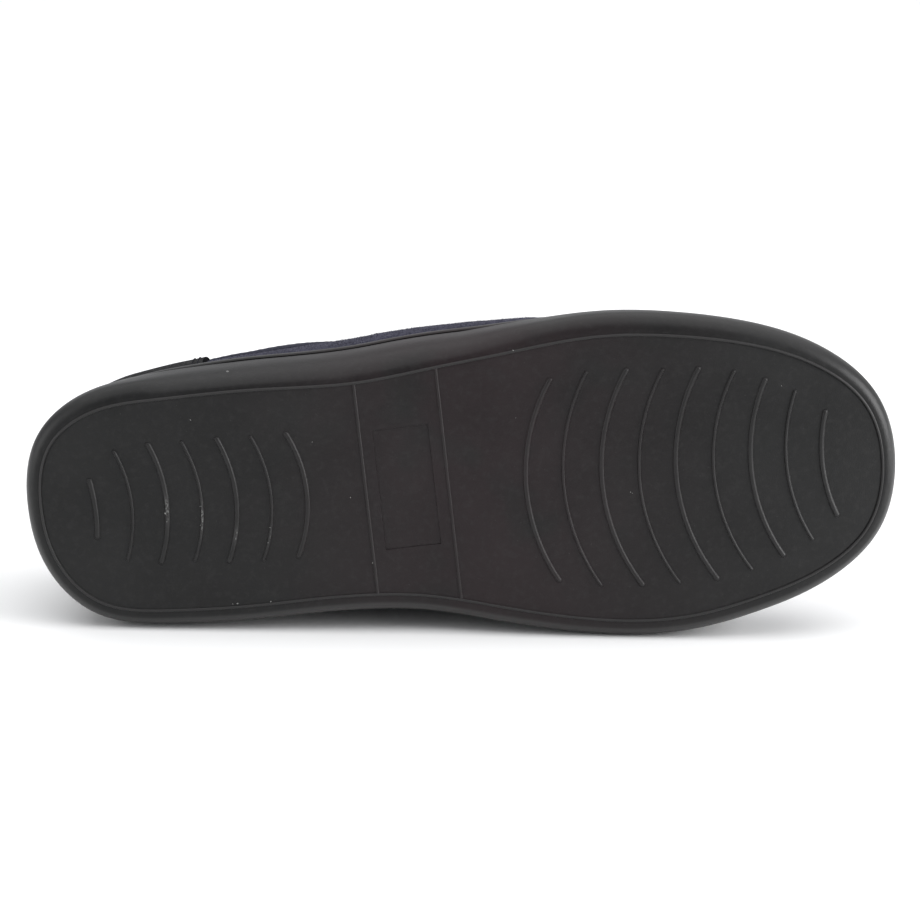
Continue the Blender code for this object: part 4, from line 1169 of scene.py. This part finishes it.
# %% Apron
APRON_WALL = 1.6 * MM
APRON_STANDS = 1.9 * MM
ahead = [i for i in range(HALF) if stations[i].x >= THROAT_LENGTH - APRON_BACK - GAP]
apron_first, apron_span = ahead[0], STATIONS - 2 * ahead[0]
apron_place = skin_place(apron_first, SEAM_LEVEL, APRON_STANDS)
apron_mesh = face_away(shaped_grid(apron_span, TOP_LEVELS, apron_place))
apron = laid_piece("apron_plug", apron_mesh, [nap.material], outward=False)
walled(apron, APRON_WALL, 0)
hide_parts("apron")

# %% Heel panel
COUNTER_WALL = 1.2 * MM
COUNTER_STANDS = 1.5 * MM
LIP_LEVEL = HIDDEN_LEVELS - 1
behind = [i for i in range(HALF) if stations[i].x <= COUNTER_LENGTH + GAP]
counter_edges = (behind[-1], -behind[-1])
counter_place = skin_place(counter_edges[1], LIP_LEVEL, COUNTER_STANDS)
counter_mesh = face_away(shaped_grid(2 * behind[-1], LEVELS - 1 - LIP_LEVEL, counter_place))
counter = laid_piece("heel_panel", counter_mesh, [panel.material], outward=False)
walled(counter, COUNTER_WALL, 0)
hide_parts("heel_counter")

# %% [markdown]
# ## The collar
#
# The collar is bound with a soft folded band. Its section is a padded loop that wraps the raw
# edge. It is extruded from place to place round the opening, and the last ring is joined to the
# first. A bevelled curve could do it too, but would twist where the throat turns.

# %% Places round the collar
order = [i for i in range(HALF, STATIONS) if stations[i].x < THROAT_LENGTH]
order += [i for i in range(HALF) if stations[i].x < THROAT_LENGTH]
print("collar stations:", len(order))


def collar_frame(k):
    """Edge point, outward normal and the way down the skin at one collar station."""
    i = order[k % len(order)]
    edge = Vector(skin[i, -1])
    before = Vector(skin[order[(k - 1) % len(order)], -1])
    after = Vector(skin[order[(k + 1) % len(order)], -1])
    normal = Vector(skin_normals[i, -3])
    run = (after - before).normalized()
    down = normal.cross(run).normalized()
    if down.dot(Vector(skin[i, -6]) - edge) < 0:
        down = -down
    return edge, normal, down


# %% The folded band
BINDING_SECTION = (
    (6.5, 0.2), (6.3, 1.5), (5.0, 2.0), (2.8, 2.3), (0.4, 2.2), (-1.6, 1.6), (-2.9, 0.2), (-3.3, -1.3),
    (-2.9, -3.0), (-1.6, -4.6), (0.4, -5.6), (2.8, -5.8), (5.0, -5.3), (6.3, -4.5), (6.5, -2.8),
)


def build_binding():
    """The band's section, carried from place to place round the collar."""
    bm = bmesh.new()
    marks = bm.verts.layers.int.new("step")
    count = len(BINDING_SECTION)
    frames = [collar_frame(k) for k in range(len(order))]
    verts = [bm.verts.new((k, 0, 0)) for k in range(count)]
    for k, vert in enumerate(verts):
        vert[marks] = k
    edges = [bm.edges.new((verts[k], verts[(k + 1) % count])) for k in range(count)]

    def place(ring_index):
        edge, normal, down = frames[ring_index]

        def move(step):
            depth, out = BINDING_SECTION[step]
            return edge + down * depth * MM + normal * out * MM

        return move

    for vert in verts:
        vert.co = place(0)(vert[marks])
    pulled(bm, edges, [place(k) for k in range(1, len(order))] + [place(0)], marks)
    return bm


binding = laid_piece("collar_band", build_binding(), [binding_cloth.material])
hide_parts("collar_binding")

# %% [markdown]
# ## The sock
#
# The foot stands on a padded sock with a pile face. A grid is stretched over the cup floor as the tread
# panel was, its rim is rounded and pulled down, and its top waves a little.

# %% Sock
SOCK_INSET = 1.2 * MM
SOCK_EDGE = ((0.5, 0.3), (0.1, 0.9), (0.0, 1.6), (0.0, 3.2), (1.0, 4.0))


def sock_edge(station):
    """How far outside the bead the sock may reach."""
    return station.cup - GAP - UPPER_WALL - GAP


def sock_rim(station):
    return station.point + station.out * (sock_edge(station) - SOCK_INSET)


def sock_place(column, row):
    """A place on top of the sock, by the two stations that its column joins."""
    share = row / CROSS_ROWS
    one, other = stations[-column % STATIONS], stations[column % STATIONS]
    x, y = sock_rim(one) * (1 - share) + sock_rim(other) * share
    wave = noise.noise(Vector((x, y, 0)) / (30 * MM)) * 0.3 * MM
    return Vector((x, y, cup_floor(x) + GAP + INSOLE_THICKNESS + wave))


def sock_pull(inset, drop):
    """A pull of the sock's rim to an inset and a drop, in millimetres."""

    def move(i):
        top = stations[i].floor + GAP + INSOLE_THICKNESS
        return stations[i].beyond(sock_edge(stations[i]) - inset * MM, top - drop * MM)

    return move


def build_sock():
    """The sock's top on a grid, its rounded edge pulled out of the rim."""
    bm = shaped_grid(HALF, CROSS_ROWS, sock_place)
    rim, marks = marked_rim(bm, np.array([sock_rim(s) for s in stations]))
    under = pulled(bm, rim, [sock_pull(*pair) for pair in SOCK_EDGE], marks)
    bmesh.ops.triangle_fill(bm, use_beauty=True, use_dissolve=False, edges=under)
    return bm


sock = laid_piece("pile_sock", build_sock(), [pile.material])
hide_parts("insole")

# %% [markdown]
# ## Seams
#
# A moccasin is known by its hand-sewn seam: the sides are gathered up to the apron, and a thick
# thread wraps the ridge at an even pitch. The ridge is a round section pulled along the apron's
# edge, and each stitch is a small stretched ball bent over the ridge. Machine stitches on the
# heel panel and the collar are the same ball, only finer. A dark welt closes the panel's edge.

# %% Places along an edge


def even_places(points, normals_there, pitch):
    """Places at an even pitch along a row of points: spot, the way forward, and the normal."""
    points, normals_there = np.asarray(points), np.asarray(normals_there)
    run = np.concatenate([[0.0], np.cumsum(np.linalg.norm(np.diff(points, axis=0), axis=1))])
    places = []
    for k in range(int(run[-1] // pitch)):
        at = (k + 0.5) * pitch
        i = min(int(np.searchsorted(run, at)) - 1, len(points) - 2)
        share = (at - run[i]) / (run[i + 1] - run[i])
        spot = points[i] * (1 - share) + points[i + 1] * share
        normal = normals_there[i] * (1 - share) + normals_there[i + 1] * share
        way = Vector(points[i + 1] - points[i]).normalized()
        places.append((Vector(spot), way, Vector(normal).normalized()))
    return places


# %% A row of stitches


def stitches(places, length, radius, lift=0.0, slant=0.0, bend=0.0):
    """A row of thread stitches, each turned by a slant from the row and bent over the cloth."""
    bm = bmesh.new()
    for spot, way, normal in places:
        run = (Matrix.Rotation(slant, 3, normal) @ way).normalized()
        across = normal.cross(run).normalized()
        turn_to = Matrix((run, across, normal)).transposed().to_4x4()
        turn_to.translation = spot + normal * lift
        sizes = Matrix.Diagonal((length / 2, radius, radius, 1.0))
        made = bmesh.ops.create_icosphere(bm, subdivisions=2, radius=1.0, matrix=turn_to @ sizes)
        if bend:
            for vert in made["verts"]:
                out = (vert.co - spot).dot(run)
                vert.co -= normal * out * out / (2 * bend)
    return bm


# %% A round cord along an edge
CORD_SIDES = 12


def cord(points, normals_there, pitch, radius_at):
    """A round section pulled from place to place, its two ends closed."""
    bm = bmesh.new()
    marks = bm.verts.layers.int.new("step")
    verts = bmesh.ops.create_circle(bm, segments=CORD_SIDES, radius=1.0)["verts"]
    for k, vert in enumerate(verts):
        vert[marks] = k
    run = even_places(points, normals_there, pitch)

    def place(number):
        spot, way, normal = run[number]
        radius = radius_at(number * pitch) * min(1.0, 0.3 + min(number, len(run) - 1 - number) * 0.2)

        def move(step):
            angle = 2 * math.pi * step / CORD_SIDES
            level = normal.cross(way) * radius * math.cos(angle)
            return spot + level + normal * radius * math.sin(angle)

        return move

    for vert in verts:
        vert.co = place(0)(vert[marks])
    edges = list(bm.edges)
    last_edges = pulled(bm, edges, [place(k) for k in range(1, len(run))], marks)
    bmesh.ops.edgeloop_fill(bm, edges=edges)
    bmesh.ops.edgeloop_fill(bm, edges=last_edges)
    return bm


# %% Moccasin seam
RIDGE_LIFT = 1.3 * MM
HAND_STITCH = {
    "length": 5.8 * MM,
    "radius": 0.65 * MM,
    "lift": 1.45 * MM,
    "slant": math.radians(68),
    "bend": 2.2 * MM,
}
seam_columns = [(apron_first + k) % STATIONS for k in range(apron_span + 1)]
seam_points = [skin[i, SEAM_LEVEL] + skin_normals[i, SEAM_LEVEL] * RIDGE_LIFT for i in seam_columns]
seam_normals = [skin_normals[i, SEAM_LEVEL] for i in seam_columns]


def gathered(run):
    """Radius of the ridge, a little fuller at every pucker."""
    return (1.15 + 0.22 * math.cos(2 * math.pi * run / PUCKER_PITCH)) * MM


ridge = cord(seam_points, seam_normals, 0.9 * MM, gathered)
laid_piece("seam_ridge", ridge, [nap.material])
hand_places = even_places(seam_points, seam_normals, PUCKER_PITCH)
hand_stitches = stitches(hand_places, **HAND_STITCH)
laid_piece("seam_hand_stitches", hand_stitches, [thread.material])
print(len(hand_places), "hand stitches")

# %% [markdown]
# The front edge of the heel panel is turned over a dark welt, whose near-black is painted shade of the
# notch there; it shows as a thin black line between panel and nap. Two rows of machine stitches run behind
# it. Both follow a column of the skin's table upward, and both end below the collar.

# %% Stitches of the heel panel
PANEL_STITCH = {"length": 2.2 * MM, "radius": 0.30 * MM}


def up_the_panel(i, low, below_collar, lift):
    """A line up one column of the skin: its points and their normals."""
    top = LEVELS - 1
    rows = [row for row in range(low, top) if (skin[i, top] - skin[i, row])[2] > below_collar]
    line_normals = [skin_normals[i, row] for row in rows]
    return [skin[i, row] + skin_normals[i, row] * lift for row in rows], line_normals


fine = bmesh.new()
for edge_column, inward in zip(counter_edges, (-1, 1)):
    for step in (1, 2):
        i = (edge_column + inward * step) % STATIONS
        line, line_normals = up_the_panel(i, LIP_LEVEL + 2, 6.5 * MM, 1.55 * MM)
        add_mesh(fine, stitches(even_places(line, line_normals, 3.1 * MM), **PANEL_STITCH))
laid_piece("heel_panel_stitches", fine, [thread.material])

# %% Welts of the heel panel
WELT_RADIUS = 0.95 * MM
welts = bmesh.new()
for i in counter_edges:
    line, line_normals = up_the_panel(i, LIP_LEVEL, 3.0 * MM, 0.60 * MM)
    add_mesh(welts, cord(line, line_normals, 1.2 * MM, lambda run: WELT_RADIUS))
laid_piece("heel_panel_welts", welts, [welt_shade_finish.material])

# %% [markdown]
# The collar's binding is caught by one row of fine stitches near its lower edge. They are sunk
# almost wholly into the padded band, as a tight thread sinks into cloth.

# %% Stitches of the collar
COLLAR_STITCH = {"length": 2.4 * MM, "radius": 0.28 * MM}
collar_points, collar_normals = [], []
for k in range(len(order)):
    edge, normal, down = collar_frame(k)
    collar_points.append(edge + down * 5.1 * MM + normal * 1.75 * MM)
    collar_normals.append(normal)
collar_places = even_places(collar_points, collar_normals, 3.4 * MM)
collar_row = stitches(collar_places, **COLLAR_STITCH)
laid_piece("collar_stitches", collar_row, [thread.material])

# %% [markdown]
# ## Nap
#
# Bump alone leaves a napped cloth with a hard outline. Tens of thousands of short fibres, each
# one thin triangle, give it the soft edge that shows along the top of the sole. They are
# scattered by area over the cloth with a fixed seed and joined in one mesh.

# %% Where the nap grows
BINDING_REACH = 6.2 * MM


def fibre_field():
    """Cells of the skin that carry nap, with the offset of the cloth there."""
    cells = []
    for i in range(STATIONS):
        for level in range(HIDDEN_LEVELS, LEVELS - 1):
            x = stations[i].x
            if x <= COUNTER_LENGTH + GAP:
                continue
            on_apron = level >= SEAM_LEVEL and x >= THROAT_LENGTH - APRON_BACK
            from_edge = np.linalg.norm(skin[i, -1] - skin[i, level])
            if x >= THROAT_LENGTH or from_edge >= BINDING_REACH:
                cells.append((i, level, APRON_STANDS if on_apron else 0.0))
    return cells


cells = fibre_field()
corner = np.array([(i, level) for i, level, offset in cells])
offsets = np.array([offset for i, level, offset in cells])
ahead_of = (corner[:, 0] + 1) % STATIONS
side_a = skin[ahead_of, corner[:, 1]] - skin[corner[:, 0], corner[:, 1]]
side_b = skin[corner[:, 0], corner[:, 1] + 1] - skin[corner[:, 0], corner[:, 1]]
areas = np.linalg.norm(np.cross(side_a, side_b), axis=1)
print("nap on", round(float(areas.sum()) * 1e4), "square centimetres")

# %% Fibres
FIBRES = 90000
FIBRE_HALF_WIDTH = 0.055 * MM
FIBRE_SINK = 0.05 * MM
COMBED = np.array([0.25, 0.0, -0.15])
random_draw = np.random.default_rng(11)
chosen = random_draw.choice(len(cells), FIBRES, p=areas / areas.sum())
shares = random_draw.random((FIBRES, 2))
roots = skin[corner[chosen, 0], corner[chosen, 1]] + side_a[chosen] * shares[:, :1]
roots = roots + side_b[chosen] * shares[:, 1:]
ups = skin_normals[corner[chosen, 0], corner[chosen, 1]]
roots = roots + ups * (offsets[chosen, None] - FIBRE_SINK)
stray = random_draw.normal(0, 1, (FIBRES, 3))
ways = ups * 0.85 + stray * 0.55 + COMBED
ways /= np.linalg.norm(ways, axis=1)[:, None]
long = (0.35 + 0.55 * random_draw.random(FIBRES) ** 2)[:, None] * MM
broad = np.cross(ways, stray)
broad = broad / np.linalg.norm(broad, axis=1)[:, None] * FIBRE_HALF_WIDTH
fibres = np.stack([roots - broad, roots + broad, roots + ways * long], axis=1).reshape(-1, 3)
fibres = fibres @ np.array(LIE_DOWN.to_3x3()).T + np.array(LIE_DOWN.translation)
fibres[:, 2] = np.maximum(fibres[:, 2], cad_box[0][2])

# %% One mesh of all the fibres
fibre_mesh = bpy.data.meshes.new("nap_fibres")
fibre_mesh.from_pydata(fibres.tolist(), [], np.arange(FIBRES * 3).reshape(-1, 3).tolist())
fibre_mesh.materials.append(nap_hair.material)
fibre_piece = bpy.data.objects.new("nap_fibres", fibre_mesh)
bpy.context.scene.collection.objects.link(fibre_piece)
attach(fibre_piece, "root")
print(FIBRES, "fibres")

# %% [markdown]
# ## Dust
#
# A sole that has been handled carries a few crumbs of lint. They are placed one by one where they catch the
# eye: on the crests of the heel ribs, along the bead and on the open tread. Each is a flattened ball a few
# tenths of a millimetre across.

# %% Places of the crumbs
CRUMB_SHAPE = (1.3, 0.8, 0.5)
CRUMBS = (
    {"x": 70.8, "y": -40.6, "size": 0.42, "high": 1.9},
    {"x": 47.5, "y": 7.5, "size": 0.38, "high": 0.0},
    {"x": 47.9, "y": 10.4, "size": 0.22, "high": 0.0},
    {"x": 57.6, "y": -24.5, "size": 0.26, "high": 0.7},
    {"x": 59.9, "y": 8.5, "size": 0.26, "high": 0.0},
    {"x": 59.7, "y": 5.4, "size": 0.20, "high": 0.0},
    {"x": 59.3, "y": 12.0, "size": 0.18, "high": 0.0},
    {"x": 70.6, "y": 39.9, "size": 0.36, "high": 0.2},
    {"x": 69.0, "y": 40.0, "size": 0.20, "high": 0.2},
    {"x": 82.0, "y": 39.6, "size": 0.30, "high": 0.2},
    {"x": 82.9, "y": 13.6, "size": 0.22, "high": 0.0},
    {"x": 82.0, "y": 18.9, "size": 0.20, "high": 0.0},
    {"x": 98.5, "y": -15.5, "size": 0.18, "high": 0.7},
    {"x": 110.7, "y": 4.2, "size": 0.24, "high": 0.7},
    {"x": 117.3, "y": 27.3, "size": 0.26, "high": 0.2},
    {"x": 167.6, "y": -44.9, "size": 0.30, "high": 0.2},
    {"x": 205.9, "y": 5.5, "size": 0.24, "high": 0.7},
    {"x": 206.5, "y": 5.9, "size": 0.16, "high": 0.7},
    {"x": 257.9, "y": -29.2, "size": 0.22, "high": 0.7},
)

# %% Crumbs
lint_finish = Finish("pale_lint", 0.95)
lint_tone = lint_finish.noise(0.3 * MM, 2.0)
lint_finish.wire(lint_finish.mixed(lint_tone, (0.13, 0.13, 0.127), (0.26, 0.26, 0.25)), "Base Color")
crumbs = bmesh.new()
for number, row in enumerate(CRUMBS):
    spot = Vector((row["x"] * MM, row["y"] * MM, tread(row["x"] * MM) + row["high"] * MM))
    turned = Matrix.Translation(spot) @ Matrix.Rotation(number * 1.3, 4, "Z")
    shape = turned @ Matrix.Diagonal((*CRUMB_SHAPE, 1.0))
    bmesh.ops.create_icosphere(crumbs, subdivisions=1, radius=row["size"] * 0.85 * MM, matrix=shape)
laid_piece("lint_crumbs", crumbs, [lint_finish.material])

# %% [markdown]
# ## Camera, light and floor
#
# The photograph looks at the tread from far away and a little above, in a bright tent: light
# from above and from both ends, and little from behind the camera.

# %% Floor
low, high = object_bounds()
floor_mesh = bmesh.new()
bmesh.ops.create_grid(floor_mesh, x_segments=8, y_segments=8, size=6.0)
bmesh.ops.translate(floor_mesh, vec=(0, 0, low.z - 0.02 * MM), verts=floor_mesh.verts)
floor_data = bpy.data.meshes.new("studio_floor")
floor_mesh.to_mesh(floor_data)
floor_mesh.free()
floor_finish = Finish("floor_pale", 0.9)
pale = floor_finish.mixed(floor_finish.noise(0.5, 2.0), (0.92, 0.92, 0.92), (0.94, 0.94, 0.94))
floor_finish.wire(pale, "Base Color")
floor_data.materials.append(floor_finish.material)
floor = bpy.data.objects.new("studio_floor", floor_data)
bpy.context.scene.collection.objects.link(floor)


# %% Soft lights


def soft_light(name, place, aim, size, power):
    """A wide lamp at a place, turned towards an aim."""
    lamp = bpy.data.lights.new(name, "AREA")
    lamp.shape = "RECTANGLE"
    lamp.size, lamp.size_y = size
    lamp.energy = power
    made = bpy.data.objects.new(name, lamp)
    made.location = place
    made.rotation_mode = "QUATERNION"
    made.rotation_quaternion = (Vector(aim) - Vector(place)).to_track_quat("-Z", "Y")
    bpy.context.scene.collection.objects.link(made)
    print(name, power, "W")


soft_light("light_above", (0.0, 0.1, 1.7), (0, 0.1, 0), (3.2, 2.9), 41)
soft_light("light_behind", (0.0, 2.6, 1.0), (0, 0, 0.05), (4.0, 1.4), 6)
soft_light("light_heel_end", (-1.6, -0.3, 0.5), (0, 0, 0.05), (1.2, 1.0), 9)
soft_light("light_toe_end", (1.6, -0.3, 0.5), (0, 0, 0.05), (1.2, 1.0), 34)
world = bpy.data.worlds.new("studio")
world.use_nodes = True
world.node_tree.nodes["Background"].inputs["Color"].default_value = (0.95, 0.97, 1.0, 1.0)
world.node_tree.nodes["Background"].inputs["Strength"].default_value = 0.42
bpy.context.scene.world = world
bpy.context.scene.view_settings.view_transform = "Standard"

# %% [markdown]
# The camera stands far off, so the sole is drawn almost without perspective. Its height, roll
# and lens were fitted until the outline of the solids lay on the outline in the photograph. The
# two shifts slide the picture by a few pixels without turning the camera.

# %% Camera
PICTURE = 920
FOCAL_PIXELS = 4020
SHIFT = (-1.9, -12.6)
ELEVATION = math.radians(15.41)
ROLL = math.radians(0.96)
DISTANCE = 1.4
aim = (Vector(cad_box[0]) + Vector(cad_box[1])) / 2
back = Vector((0, -math.cos(ELEVATION), math.sin(ELEVATION)))
lens = bpy.data.cameras.new("photo_camera")
lens.sensor_width = 36.0
lens.lens = lens.sensor_width * FOCAL_PIXELS / PICTURE
lens.shift_x = SHIFT[0] / PICTURE
lens.shift_y = SHIFT[1] / PICTURE
camera = bpy.data.objects.new("photo_camera", lens)
camera.rotation_mode = "QUATERNION"
look = (-back).to_track_quat("-Z", "Y").to_matrix() @ Matrix.Rotation(ROLL, 3, "Z")
camera.rotation_quaternion = look.to_quaternion()
camera.location = aim + back * DISTANCE
bpy.context.scene.collection.objects.link(camera)
bpy.context.scene.camera = camera
